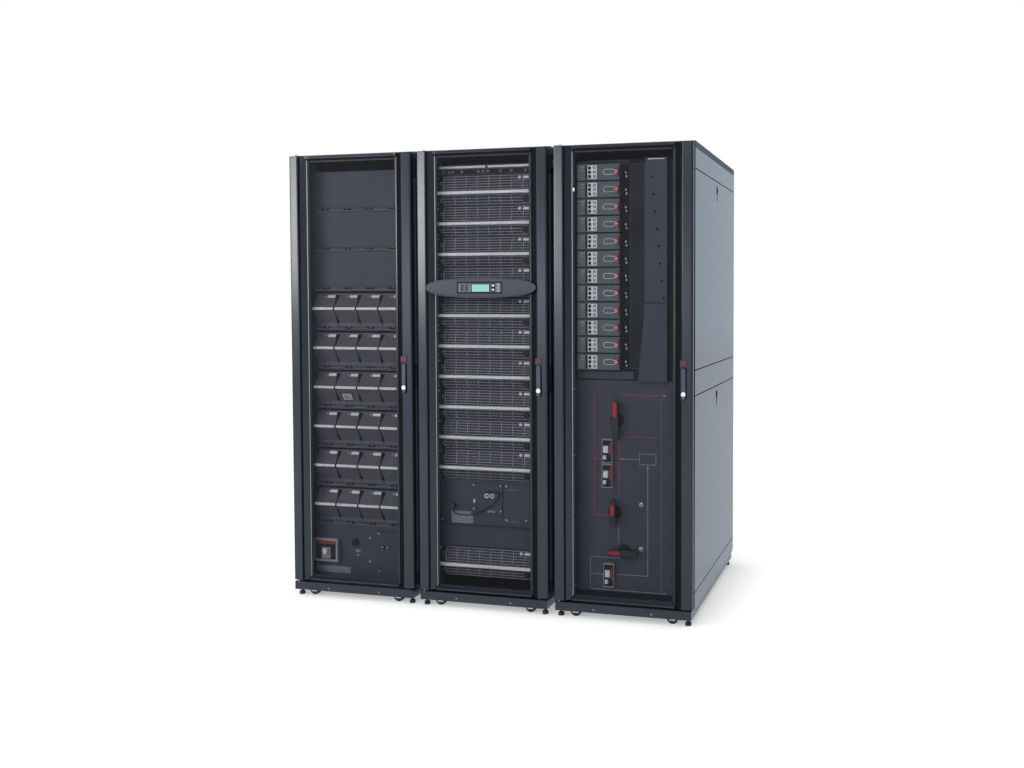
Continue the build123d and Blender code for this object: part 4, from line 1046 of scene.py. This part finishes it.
class CABINET_OT_power_modules(Operator):
    """Pull bars, grilles, labels and knobs of the power modules"""

    bl_idname = "cabinet.power_modules"
    bl_label = "Power modules"

    bar_rise = 0.054
    bar_size = (0.014, 0.004)
    bar_inset = 0.002
    nose_half = 0.008
    nose_proud = 0.014
    half_width = 0.228
    grille_left = 0.204
    pair_reach = 0.008
    wire = 0.0011
    wire_lift = 0.0008
    # Width and depth of a level bar, a thin post and a bold post, which is every fifth one
    level_bar, thin_post, bold_post = (0.0024, 0.0016), (0.0006, 0.0012), (0.0024, 0.0022)
    bold_every = 5
    lower_grille = (0.005, 0.043)
    upper_grille = (0.068, 0.126)
    label_z = 0.116
    labels = ((0.149, 0.012), (0.181, 0.030))
    label_height = 0.011
    label_depth = 0.0012
    label_lift = 0.0020
    knob_place = (0.178, 0.026)
    knob = (0.024, 0.024, 0.003, 0.006, 0.002)
    knob_lift = 0.001
    screw_x = np.array([-0.2345, 0.2345])
    screw_rises = (0.012, 0.122)
    screw_lift = 0.002

    def grille(self, feet, foot, head, foot_y, head_y, detail):
        """Level bars at even shares of a slope, of which two are joined by a half circle at the left, and
        upright bars from its foot to its head, some of them bold."""
        low, high = feet + foot, feet + head
        along = np.array([0.0, head_y - foot_y, head - foot])
        slope = np.linalg.norm(along)
        along /= slope
        normal = np.array([0.0, -along[2], along[1]])
        rows = int((head - foot) / detail.grille_rows) + 1
        share = np.linspace(0, 1, rows)
        z = (low[:, None] + (high - low)[:, None] * share).ravel()
        y = np.tile(foot_y + (head_y - foot_y) * share, len(feet))
        first = rows // 2 - 1
        left = np.full(rows, -self.grille_left)
        left[first:first + 2] -= self.pair_reach
        start = np.column_stack([np.tile(left, len(feet)), y, z])
        end = np.column_stack([np.full(len(z), self.half_width), y, z])
        parts = [bars(start, end, normal, *self.level_bar)]
        radius = slope / (rows - 1) / 2
        turn = np.linspace(np.pi / 2, 3 * np.pi / 2, 9)[:, None]
        bend = np.cos(turn) * np.array([radius, 0.0, 0.0]) + np.sin(turn) * radius * along
        centres = start.reshape(len(feet), rows, 3)[:, first:first + 2].mean(axis=1)
        parts.append(tubes(centres[:, None, :] + bend + normal * self.wire_lift, self.wire, normal))
        columns = np.arange(-self.grille_left, self.half_width + 1e-6, detail.grille_columns)
        for posts, bar in ((columns, self.thin_post), (columns[::self.bold_every], self.bold_post)):
            x, bottom = pairs(posts, low)
            top = np.repeat(high, len(posts))
            parts.append(bars(points_at(x, foot_y, bottom), points_at(x, head_y, top), normal, *bar))
        return parts

    def execute(self, context):
        detail = context.scene.cabinet_looks.detail
        feet = np.concatenate([[STATIC_FOOT], POWER_FOOT + POWER_PITCH * np.arange(POWER_COUNT)])
        tip = FACE_Y - self.nose_proud
        low, high = corners("power_pull_bars")
        profile = bar_profile(high[1] - low[1], *self.bar_size)
        bar = beams(profile, low[0], high[0], points_at(0.0, high[1], feet + self.bar_rise), self.bar_inset)
        make(context, "power_bars", [bar], "bar_aluminium", hides=["power_pull_bars"])

        shoulder = self.bar_rise + self.nose_half
        upper_span = POWER_PITCH - MODULE_GAP - shoulder
        lower_span = self.bar_rise - self.nose_half - MODULE_GAP

        def upper_y(z):
            """Depth of the upper slope, from the tip at the shoulder evenly back to the face."""
            return tip + (z - shoulder) / upper_span * self.nose_proud

        def lower_y(z):
            """Depth of the lower slope, from the face at the foot evenly out to the tip."""
            return FACE_Y - (z - MODULE_GAP) / lower_span * self.nose_proud

        parts = []
        for (foot, head), face in ((self.lower_grille, lower_y), (self.upper_grille, upper_y)):
            parts += self.grille(feet, foot, head, face(foot), face(head), detail)
        make(context, "power_grilles", parts, "grille_steel")

        lean = np.arctan2(self.nose_proud, upper_span)
        y = upper_y(self.label_z) - self.label_lift
        parts = []
        for x, width in self.labels:
            places = points_at(x, y, feet + self.label_z)
            outline = rectangle(width, self.label_height)
            parts += leaning(outline, places, self.label_depth, LABEL_EDGE, -lean)
        make(context, "power_labels", parts, "label_white")
        x, z = self.knob_place
        knobs = plate(*self.knob, points_at(x, lower_y(z) - self.knob_lift, feet + z))
        make(context, "power_knobs", [knobs], "key_plastic")
        spots = [
            points_at(np.repeat(self.screw_x, len(feet)), FACE_Y - self.screw_lift, np.tile(feet + rise, 2))
            for rise in self.screw_rises
        ]
        add_screws(context, "power_screws", np.concatenate(spots))
        return {"FINISHED"}


class CABINET_OT_control_unit(Operator):
    """Light bar, port strip and ports at the head of the power bay, and the ledge of the blank panel"""

    bl_idname = "cabinet.control_unit"
    bl_label = "Control unit"

    bar_drop = 0.010
    bar_spans = ((-0.228, -0.010), (0.002, 0.228))
    bar_round = (0.005, 0.010)
    ledge_round = (0.008, 0.006)
    strip_rise = 0.012
    port_x = (-0.207, -0.180, -0.162, -0.120, -0.043, -0.021, 0.001, 0.060, 0.110, 0.174, 0.200)
    ledge_half = 0.226
    ledge_drop = 0.005
    ledge_inset = 0.002

    def execute(self, context):
        low, high = corners("control_unit")
        x, y = BAY_X["power"], low[1]
        place = [[x, y, high[2] - self.bar_drop]]
        profile = half_round(*self.bar_round)
        parts = [beams(profile, left, right, place, END_INSET) for left, right in self.bar_spans]
        make(context, "control_bar", parts, "bar_aluminium")
        add_plates(context, [x, y, low[2] + self.strip_rise], {
            "control_strip": ("display_black", "display_black", (0.456, 0.018, 0, 0.0015, 0.0005, [(0, 0, 0)])),
            "control_ports": (
                "grille_steel", "module_paint",
                (0.011, 0.009, 0.002, 0.0010, 0.0004, [(px, -0.0015, 0) for px in self.port_x]),
            ),
            "control_port_faces": (
                "key_plastic", "module_paint",
                (0.007, 0.005, 0, 0.0003, 0.0001, [(px, -0.0025, 0) for px in self.port_x]),
            ),
        })
        low, high = corners("power_blank_panel")
        place = points_at(x, low[1], high[2] - self.ledge_drop)
        ledge = beams(half_round(*self.ledge_round), -self.ledge_half, self.ledge_half, place, self.ledge_inset)
        make(context, "blank_panel_ledge", [ledge], "interior_paint")
        return {"FINISHED"}


class CABINET_OT_connection_panel(Operator):
    """Connectors, plates, bare label and screws of the connection panel, and its signal lead"""

    bl_idname = "cabinet.connection_panel"
    bl_label = "Connection panel and lead"

    lead_y = -0.455
    diameter = 0.005
    length = 0.2656
    route = (
        (0.043, 0.133), (0.043, 0.117), (0.022, 0.097), (-0.012, 0.075), (-0.048, 0.055), (-0.086, 0.045),
        (-0.126, 0.043), (-0.166, 0.050), (-0.166, 0.074),
    )
    raised = -0.006
    cover = -0.004
    plugs = ((-0.010, raised, 0.485), (0.016, raised, 0.485))
    low_plugs = ((0.000, raised, 0.416), (0.021, raised, 0.416))
    rim = ((0.0105, 0.0), (0.0105, 0.004), (0.0092, 0.005), (0.0072, 0.005), (0.0066, 0.002))
    small_rim = (0.014, 0.008, 0.002, 0.003, 0.001)
    eye = ((0.0052, 0.0), (0.0048, 0.0008))
    slit = (0.010, 0.005, 0, 0.0004, 0.0002)
    frame_bar = (0.065, 0.006, 0, 0.002, 0.0006)
    frame_place = (0.0175, raised, 0.503)
    screws = (
        (-0.072, raised, 0.530), (0.055, raised, 0.531), (-0.072, raised, 0.425), (0.055, raised, 0.419),
        (0.080, cover, 0.531), (0.214, cover, 0.531), (0.080, cover, 0.382), (0.172, cover, 0.384),
        (-0.226, 0, 0.535), (-0.226, 0, 0.370), (0.234, 0, 0.545), (0.234, 0, 0.365),
    )
    seams = ((0.080, cover, 0.514), (0.080, cover, 0.376))
    seam_length = 0.056
    seam_bar = (0.0016, 0.0008)

    def lead(self, context):
        """A smooth curve with the route's points as its control points."""
        curve = bpy.data.curves.new("lead", "CURVE")
        curve.dimensions = "3D"
        curve.bevel_depth = self.diameter / 2
        curve.bevel_resolution = 4
        curve.use_fill_caps = True
        spline = curve.splines.new("NURBS")
        spline.points.add(len(self.route) - 1)
        places = [(BAY_X["power"] + x, self.lead_y, PANEL_FOOT + z, 1.0) for x, z in self.route]
        spline.points.foreach_set("co", np.array(places).ravel())
        spline.order_u = 3
        spline.use_endpoint_u = True
        spline.resolution_u = 12
        curve.materials.append(look(context, "lead_jacket"))
        piece = bpy.data.objects.new("lead", curve)
        context.scene.collection.objects.link(piece)
        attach(piece, "line_up")
        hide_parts("signal_lead")

    def execute(self, context):
        self.lead(context)
        detail = context.scene.cabinet_looks.detail
        steps = detail.round_steps
        origin = np.array([BAY_X["power"], FACE_Y, 0.0])
        slot = "interior_paint"
        add_plates(context, origin, {
            "connection_label": (
                "trim_strip", slot, (0.103, 0.054, 0, detail.plate, LABEL_EDGE, [(-0.129, 0, 0.384)]),
            ),
            "connection_tag": (
                "label_white", slot,
                (0.008, 0.016, 0, detail.plate, LABEL_EDGE, [(-0.069, self.raised, 0.460)]),
            ),
        })
        plugs, low_plugs = origin + self.plugs, origin + self.low_plugs
        rims = [discs(self.rim, plugs, steps), plate(*self.small_rim, low_plugs)]
        make(context, "connection_rims", rims, "toggle_plastic")
        eyes = discs(self.eye, plugs + [0, -self.rim[-1][1], 0], steps)
        slits = plate(*self.slit, low_plugs + [0, -self.small_rim[3], 0])
        bar = plate(*self.frame_bar, origin + self.frame_place)
        make(context, "connection_eyes", [eyes, slits, bar], "key_plastic")
        add_screws(context, "connection_screws", origin + self.screws)
        start = origin + self.seams
        seams = bars(start, start + [self.seam_length, 0, 0], FRONT, *self.seam_bar)
        make(context, "connection_seams", [seams], "grey_line")
        return {"FINISHED"}


# Bypass bay


class CABINET_OT_feeders(Operator):
    """Toggles, strips, wire bails and indicator dots of the feeder breakers"""

    bl_idname = "cabinet.feeders"
    bl_label = "Feeder breakers"

    gap = 0.003
    rows = (-0.018, 0.0, 0.018)
    bail_x = 0.126
    bail_radius = 0.011
    bail_ends = np.array([[0.175, 0.005], [0.150, 0.0105]])
    bail_wire = 0.0013
    bail_lift = 0.003
    lever_x = 0.178
    lever = (0.009, 0.034, 0.002, 0.012, 0.002)
    field_x = (0.014, 0.078)
    head_x = (-0.205, 0.010)
    field_border = 0.003
    sheet = 0.0016
    cover_middle = 0.131
    cover_step = 1.330
    catch = (0.007, 0.014, 0, 0.003, 0.001)

    def bails(self, left, y, middles):
        """Wire: along the top to a half circle and back below, drawn together at the lever."""
        turn = np.linspace(np.pi / 2, 3 * np.pi / 2, 10)
        bend = self.bail_radius * np.stack([np.cos(turn), np.sin(turn)], axis=1) + [self.bail_x, 0]
        path = np.concatenate([self.bail_ends, bend, self.bail_ends[::-1] * [1, -1]])
        paths = np.stack([points_at(left + path[:, 0], y, z + path[:, 1]) for z in middles])
        return tubes(paths, self.bail_wire, FRONT)

    def execute(self, context):
        mesh = context.scene.cabinet_looks.mesh
        left, face = FEEDER_LOW[:2]
        middles = FEEDER_LOW[2] - self.gap + FEEDER_PITCH * (np.arange(FEEDER_COUNT) + 0.5)
        toggle_y = corners("feeder_toggles")[0][1] - face
        cells = (middles[:, None] + self.rows).ravel()
        slot = "breaker_plastic"

        def each(x, y=0.0, rise=0.0):
            """One place on each breaker, from its middle."""
            return points_at(x, y, middles + rise)

        add_plates(context, [left, face, 0.0], {
            "feeder_strips": ("module_paint", slot, (0.009, 0.058, 0, 0.003, 0.0008, each(0.040))),
            "feeder_knobs": (
                "key_plastic", slot, (0.011, 0.013, 0.003, 0.005, 0.002, points_at(0.056, toggle_y, cells)),
            ),
            "feeder_squares": (
                "breaker_plastic", slot, (0.013, 0.012, 0, 0.0008, 0.0003, points_at(0.077, toggle_y, cells)),
            ),
            "feeder_dashes": (
                "trim_strip", slot, (0.020, 0.005, 0, 0.0008, 0.0002, each(0.024, rise=0.022)),
                (0.014, 0.003, 0, 0.0008, 0.0002, each(0.022, rise=0.010)),
            ),
            "feeder_trays": ("feeder_plastic", slot, (0.080, 0.054, 0, 0.0010, 0.0004, each(0.136))),
            "feeder_stems": (
                "toggle_plastic", "toggle_plastic", (0.014, 0.004, 0, 0.0126, 0.0008, each(0.173)),
            ),
        })
        bails = self.bails(left, face - self.bail_lift, middles)
        make(context, "feeder_bails", [bails], "toggle_plastic")
        lever = plate(*self.lever, each(left + self.lever_x, face))
        make(context, "feeder_handles", [lever], "lever_plastic", hides=["feeder_levers"])

        x = BAY_X["bypass"]
        plate_low, plate_high = corners("feeder_back_plate")
        front, back = FACE_Y - self.sheet, FACE_Y
        for name, (x0, x1), z0, z1 in (
            ("feeder_lattice", self.field_x, plate_low[2] + 0.050, plate_high[2] - 0.020),
            ("feeder_head_lattice", self.head_x, FEEDER_HIGH[2] + 0.004, plate_high[2] - 0.004),
        ):
            low, high = np.array([x + x0, front, z0]), np.array([x + x1, back, z1])
            parts = lattice(low, high, 2 * mesh.pitch, 2 * mesh.bar) + border(low, high, self.field_border)
            make(context, name, parts, "cover_paint")
        cover_low, cover_high = corners("cable_cover")
        cover_y = cover_low[1] - FACE_Y
        dots = np.concatenate([each(-0.004), each(-0.001, rise=-0.016)])
        add_plates(context, [x, FACE_Y, 0.0], {
            "feeder_dots": ("label_white", slot, (0.0055, 0.0090, 0, 0.0016, 0.0006, dots)),
            "feeder_blank": (
                "cover_paint", "interior_paint", (0.250, 0.034, 0, 0.006, 0.002, [(-0.092, 0, 1.026)]),
            ),
            "cover_step": (
                "latch_plastic", "cover_paint",
                (0.092, 0.0035, 0, 0.0006, 0.0002, [(self.cover_middle, cover_y, self.cover_step)]),
            ),
            "cover_slit": (
                "toggle_plastic", "cover_paint",
                (0.070, 0.0035, 0, 0.0006, 0.0002, [(self.cover_middle, cover_y, cover_high[2] - 0.006)]),
            ),
            "feeder_joint": (
                "interior_paint", "interior_paint", (0.470, 0.0235, 0, 0.004, 0.0005, [(0, 0.004, 0.991)]),
            ),
        })
        edge = corners("bypass_door_mesh")[0]
        catch = plate(*self.catch, [edge[0] + self.catch[0] / 2, edge[1], float(middles[-2])])
        make(context, "door_catch", [catch], "toggle_plastic", "bypass_door")
        return {"FINISHED"}


class CABINET_OT_mimic_panel(Operator):
    """Lines of the diagram, lamps, panel breakers and the red faces of the rotary switches"""

    bl_idname = "cabinet.mimic_panel"
    bl_label = "Mimic panel"

    magenta = (
        ((-0.144, 0.946), (-0.144, 0.427), (-0.063, 0.427)), ((-0.029, 0.943), (0.160, 0.943)),
        ((-0.033, 0.742), (-0.033, 0.513)), ((-0.144, 0.668), (-0.112, 0.668)),
        ((-0.033, 0.766), (0.130, 0.766)),
    )
    grey = (
        ((-0.021, 0.671), (0.055, 0.671)),
        ((0.055, 0.650), (0.126, 0.650), (0.126, 0.696), (0.055, 0.696), (0.055, 0.650)),
        ((0.091, 0.644), (0.091, 0.177), (-0.044, 0.177)), ((-0.161, 0.247), (-0.029, 0.247)),
        ((-0.161, 0.247), (-0.161, 0.108), (0.160, 0.108)), ((-0.036, 0.387), (-0.036, 0.314)),
        ((-0.161, 0.174), (-0.104, 0.174)),
    )
    # Place of each arrow head and its turn in degrees
    heads = (
        (0.166, 0.943, 0.0), (-0.025, 0.671, 180.0), (0.091, 0.638, 90.0), (-0.102, 0.174, 0.0),
        (0.166, 0.108, 0.0),
    )
    # Outline of an arrow head, its depth and edge, and those of a switch's face
    head = np.array([[-0.007, -0.005], [0.006, 0.0], [-0.007, 0.005]])
    head_plate = (0.0010, 0.0003)
    face_plate = (0.0040, 0.0020)
    dots = np.arange(0.116, 0.940, 0.015)
    dots_x = 0.150
    dot = ((0.0025, 0.0), (0.0020, 0.0008))
    dot_steps, rose_steps = 10, 40
    line_depth = 0.0008
    lamps = ((0.062, 0, 0.480), (0.062, 0, 0.290))
    lamp_rim = ((0.0095, 0.0), (0.0095, 0.002), (0.0080, 0.003), (0.0068, 0.003), (0.0066, 0.001))
    lamp = ((0.0064, 0.0), (0.0060, 0.003), (0.0040, 0.0046), (0.0016, 0.0052))
    breakers = np.array([[-0.083, 0, 0.704], [-0.083, 0, 0.598], [-0.076, 0, 0.174]])
    breaker_plates = {
        "panel_breaker_faces": (
            "module_paint", "breaker_plastic", (0.040, 0.092, 0.003, 0.002, 0.0008, breakers),
        ),
        "panel_breaker_toggles": (
            "toggle_plastic", "toggle_plastic",
            (0.022, 0.030, 0, 0.006, 0.002, breakers + [-0.004, -0.002, 0.008]),
            (0.014, 0.018, 0.003, 0.010, 0.003, breakers + [-0.008, -0.002, -0.026]),
        ),
        "panel_breaker_stripes": (
            "lever_plastic", "lever_plastic",
            (0.006, 0.052, 0, 0.004, 0.001, breakers + [0.016, -0.002, 0.010]),
        ),
    }
    # Width and height of each switch's red face, and its place from the middle of the switch
    faces = {"1": (0.018, 0.066, 0.0, 0.047), "2": (0.018, 0.048, 0.0, 0.014), "3": (0.054, 0.015, -0.035, 0.0)}
    roses = ((-0.041, 0, 0.836), (-0.053, 0, 0.444), (-0.009, 0, 0.278))
    rose = ((0.030, 0.0), (0.030, 0.002), (0.028, 0.0035), (0.0195, 0.0035), (0.0190, 0.0010))
    foot = {"mimic_foot": (
        "module_paint", "interior_paint", (0.470, 0.025, 0, 0.003, 0.0005, [(0, 0.006, 0.0865)]),
    )}
    screw_x = (-0.228, 0.228)
    screw_z = np.linspace(0.118, 0.962, 4)

    def lines(self, runs, width, x):
        """Flat bars between the points of each run, with half the width added at both ends."""
        start = np.array([p for run in runs for p in run[:-1]])
        end = np.array([p for run in runs for p in run[1:]])
        along = (end - start) / np.linalg.norm(end - start, axis=1, keepdims=True)
        ends = (start - along * width / 2, end + along * width / 2)
        return bars(*(points_at(x + e[:, 0], FACE_Y, e[:, 1]) for e in ends), FRONT, width, self.line_depth)

    def execute(self, context):
        detail = context.scene.cabinet_looks.detail
        steps = detail.round_steps
        x = BAY_X["bypass"]
        origin = np.array([x, FACE_Y, 0.0])
        live = self.lines(self.magenta, detail.line_width, x)
        make(context, "mimic_live_lines", [live], "magenta_line")
        parts = [self.lines(self.grey, detail.line_width, x)]
        for head_x, head_z, turn in self.heads:
            place = origin + [head_x, 0, head_z]
            parts.append(spun(slabs(self.head, place, *self.head_plate), -np.radians(turn), "Y", place))
        make(context, "mimic_lines", parts, "grey_line")
        dots = discs(self.dot, points_at(x + self.dots_x, FACE_Y, self.dots), self.dot_steps)
        make(context, "mimic_dots", [dots], "trim_strip")
        lamps = origin + self.lamps
        make(context, "mimic_lamp_rims", [discs(self.lamp_rim, lamps, steps)], "zinc_steel")
        make(context, "mimic_lamps", [discs(self.lamp, lamps, steps)], "lcd_glass")
        add_plates(context, [x, corners("panel_breakers")[0][1], 0.0], self.breaker_plates)
        for number, (wide, tall, dx, dz) in self.faces.items():
            node = "bypass_switch_" + number
            place = middle(node) + [dx, 0, dz]
            place[1] = corners(node)[0][1]
            insert = slabs(stadium(wide, tall), place, *self.face_plate)
            body = "switch_" + number
            make(context, "switch_face_" + number, [insert], "lever_plastic", body)
        roses = discs(self.rose, origin + self.roses, self.rose_steps)
        make(context, "switch_roses", [roses], "module_paint")
        add_plates(context, origin, self.foot)
        edge_x, edge_z = np.repeat(self.screw_x, len(self.screw_z)), np.tile(self.screw_z, len(self.screw_x))
        add_screws(context, "mimic_screws", points_at(x + edge_x, FACE_Y, edge_z))
        return {"FINISHED"}


# Shell


class CABINET_OT_shell_fittings(Operator):
    """Anchor bolts of the bases"""

    bl_idname = "cabinet.shell_fittings"
    bl_label = "Shell fittings"

    half_spacing = 0.125
    height = 0.041
    sunk = 0.004
    bolt = ((0.0050, -0.004), (0.0050, 0.0010), (0.0042, 0.0018), (0.0022, 0.0018), (0.0018, 0.0006))

    def execute(self, context):
        steps = context.scene.cabinet_looks.detail.round_steps
        x = [BAY_X[bay] + side * self.half_spacing for bay in BAYS for side in (-1, 1)]
        heads = discs(self.bolt, points_at(x, corners("bases")[0][1] + self.sunk, self.height), steps)
        make(context, "base_bolts", [heads], "trim_strip")
        return {"FINISHED"}


class CABINET_OT_rear_fields(Operator):
    """Perforated sheets in the sunk fields of the rear doors"""

    bl_idname = "cabinet.rear_fields"
    bl_label = "Rear door fields"

    margin = 0.060
    sunk = 0.008
    seam = 0.004
    sheet = 0.003

    def execute(self, context):
        mesh = context.scene.cabinet_looks.mesh
        low, high = corners("rear_doors")
        floor = high[1] - self.sunk
        reach = np.array([self.seam / 2 + self.margin, high[0] - BAY_X["bypass"] - self.margin])
        parts = []
        for bay in BAYS:
            for side in (-1, 1):
                ends = BAY_X[bay] + side * reach
                field_low = np.array([ends.min(), floor, low[2] + self.margin])
                field_high = np.array([ends.max(), floor + self.sheet, high[2] - self.margin])
                parts += lattice(field_low, field_high, 2 * mesh.pitch, 6 * mesh.bar)
        make(context, "rear_sheets", parts, "charcoal_paint")
        return {"FINISHED"}


# Stage


def pale(name, diffuse, glow, mirrored, shade_reach, shade_start, shade_least):
    """Pale floor: a diffuse share that takes the shadow, a white glow for the camera and glass that dims close
    to the cabinet as a painted contact shadow, and a cool glow for mirrors."""
    material = bpy.data.materials.new(name)
    material.use_nodes = True
    tree = material.node_tree
    tree.nodes.remove(tree.nodes["Principled BSDF"])
    path = add_node(tree, "LightPath").outputs
    total = add_node(tree, "BsdfDiffuse", {"Color": (diffuse, diffuse, diffuse, 1.0)})
    seen = calculate(tree, "MAXIMUM", path["Is Camera Ray"], path["Is Transmission Ray"])
    open_air = add_node(tree, "AmbientOcclusion", {"Distance": shade_reach}).outputs["AO"]
    dimmed = add_node(tree, "MapRange", {"Value": open_air, "From Min": shade_start, "To Min": shade_least})
    glowing = calculate(tree, "MULTIPLY", seen, dimmed.outputs["Result"])
    for ray, tone in ((glowing, (glow, glow, glow)), (path["Is Glossy Ray"], mirrored)):
        light = add_node(tree, "Emission", {"Color": (*tone, 1.0), "Strength": ray})
        total = add_node(tree, "AddShader", {0: total.outputs[0], 1: light.outputs[0]})
    feed(tree, tree.nodes["Material Output"], {"Surface": total.outputs[0]})
    return material


# Where the mirrored tone stops falling, starts rising and is full, from the front to the back
MIRROR_STOPS = (0.08, 0.25, 0.60)


def surroundings(stage):
    """World: white to the camera and through glass, a cool tone to mirrors that falls to its front share where
    a ray runs to the front and rises again straight ahead, and an even level for the rest."""
    world = bpy.data.worlds.new("surroundings")
    world.use_nodes = True
    tree = world.node_tree
    path = add_node(tree, "LightPath").outputs
    glossy = path["Is Glossy Ray"]
    place = add_node(tree, "TexCoord").outputs["Generated"]
    heading = add_node(tree, "SeparateXYZ", {"Vector": place}).outputs["Y"]
    turn = add_node(tree, "MapRange", {"Value": heading, "From Min": -1.0}).outputs["Result"]
    share = add_node(tree, "ValToRGB", {"Fac": turn})
    shares = (stage.mirror_ahead, stage.mirror_front, stage.mirror_front, 1.0)
    stops = tuple(zip((0.0, *MIRROR_STOPS), shares))
    elements = share.color_ramp.elements
    while len(elements) < len(stops):
        elements.new(1.0)
    for element, (position, value) in zip(elements, stops):
        element.position = position
        element.color = (value, value, value, 1.0)
    strength = add_node(
        tree, "Mix", {"Factor": glossy, "A": stage.sky, "B": share.outputs["Color"]}, data_type="FLOAT",
    ).outputs["Result"]
    for ray in ("Is Camera Ray", "Is Transmission Ray"):
        strength = calculate(tree, "MAXIMUM", strength, path[ray])
    tone = add_node(
        tree, "Mix", {"Factor": glossy, "A": (1.0, 1.0, 1.0, 1.0), "B": (*stage.mirror, 1.0)}, data_type="RGBA",
    ).outputs["Result"]
    feed(tree, tree.nodes["Background"], {"Color": tone, "Strength": strength})
    return world


class CABINET_OT_stage(Operator):
    """Pale floor, soft lamps, white surroundings and the camera"""

    bl_idname = "cabinet.stage"
    bl_label = "Stage"

    floor_size = 60.0
    floor_diffuse = 0.60
    floor_glow = 0.77
    floor_mirror = 0.62
    # Reach of the shade near the cabinet, and where and how far it dims the glow
    floor_shade = (0.22, 0.35, 0.50)
    sensor = 36.0
    far = 200.0
    # Place, aim and size of each lamp
    key = ((0.9, -4.8, 4.0), (0.0, -0.45, 0.95), (3.4, 1.4))
    card = ((-0.45, -4.7, 1.40), (-0.2, -0.5, 1.40), (2.7, 0.9))
    fill = ((-3.7, -4.5, 2.1), (-0.3, -0.5, 1.8), (3.0, 1.37))

    def lamp(self, context, name, setting, power, tone=(1.0, 1.0, 1.0)):
        """Area lamp at a place, turned by yaw and pitch so that it looks at its aim."""
        place, aim, extent = setting
        light = bpy.data.lights.new(name, "AREA")
        light.shape = "RECTANGLE"
        light.size, light.size_y = extent
        light.energy = power
        light.color = tone
        holder = bpy.data.objects.new(name, light)
        along = np.subtract(aim, place)
        yaw = np.arctan2(-along[0], along[1])
        pitch = np.arctan2(along[2], np.hypot(along[0], along[1]))
        turn = Matrix.Rotation(yaw, 4, "Z") @ Matrix.Rotation(np.pi / 2 + pitch, 4, "X")
        holder.matrix_world = Matrix.Translation(place) @ turn
        context.scene.collection.objects.link(holder)

    def floor(self, context, mirror):
        """One large square at floor level."""
        half = self.floor_size / 2
        mesh = bpy.data.meshes.new("floor")
        edges = [(-half, -half, 0), (half, -half, 0), (half, half, 0), (-half, half, 0)]
        mesh.from_pydata(edges, [], [(0, 1, 2, 3)])
        mirrored = [self.floor_mirror * channel for channel in mirror]
        white = pale("floor_white", self.floor_diffuse, self.floor_glow, mirrored, *self.floor_shade)
        mesh.materials.append(white)
        floor = bpy.data.objects.new("floor", mesh)
        context.scene.collection.objects.link(floor)

    def execute(self, context):
        stage = context.scene.cabinet_looks.stage
        self.floor(context, stage.mirror)
        context.scene.world = surroundings(stage)
        self.lamp(context, "key_lamp", self.key, stage.key)
        self.lamp(context, "front_card", self.card, stage.card, stage.mirror)
        self.lamp(context, "fill_lamp", self.fill, stage.fill)

        camera = bpy.data.cameras.new("camera")
        camera.sensor_fit = "HORIZONTAL"
        camera.sensor_width = self.sensor
        camera.lens = self.sensor * stage.focal
        camera.shift_x, camera.shift_y = stage.shift
        camera.dof.use_dof = False
        camera.clip_end = self.far
        eye = bpy.data.objects.new("camera", camera)
        turn = Matrix.Rotation(stage.yaw, 4, "Z") @ Matrix.Rotation(np.pi / 2 - stage.tilt, 4, "X")
        eye.matrix_world = Matrix.Translation(stage.eye) @ turn
        context.scene.collection.objects.link(eye)
        context.scene.camera = eye
        context.scene.view_settings.view_transform = "Standard"
        return {"FINISHED"}


PIECES = (
    CABINET_OT_paint_nodes, CABINET_OT_door_meshes, CABINET_OT_door_strips, CABINET_OT_door_handles,
    CABINET_OT_display, CABINET_OT_battery_rows, CABINET_OT_battery_panel, CABINET_OT_power_modules,
    CABINET_OT_control_unit, CABINET_OT_connection_panel, CABINET_OT_feeders, CABINET_OT_mimic_panel,
    CABINET_OT_shell_fittings, CABINET_OT_rear_fields, CABINET_OT_stage,
)


class CABINET_PT_looks(Panel):
    """Buttons for each group of pieces"""

    bl_idname = "CABINET_PT_looks"
    bl_label = "Power cabinet"
    bl_space_type = "VIEW_3D"
    bl_region_type = "UI"
    bl_category = "Cabinet"

    def draw(self, context):
        looks = context.scene.cabinet_looks
        for piece in PIECES:
            self.layout.operator(piece.bl_idname)
        for group in (looks.mesh, looks.detail, looks.colours, looks.stage):
            box = self.layout.box()
            for name in group.__annotations__:
                box.prop(group, name)


CLASSES = (MeshSizes, DetailSizes, Colours, StageSizes, CabinetLooks) + PIECES + (CABINET_PT_looks,)


def register():
    for item in CLASSES:
        bpy.utils.register_class(item)
    bpy.types.Scene.cabinet_looks = PointerProperty(type=CabinetLooks)


def unregister():
    del bpy.types.Scene.cabinet_looks
    for item in reversed(CLASSES):
        bpy.utils.unregister_class(item)


def main():
    register()
    for piece in PIECES:
        getattr(bpy.ops.cabinet, piece.bl_idname.split(".")[1])()


if __name__ == "__main__":
    main()
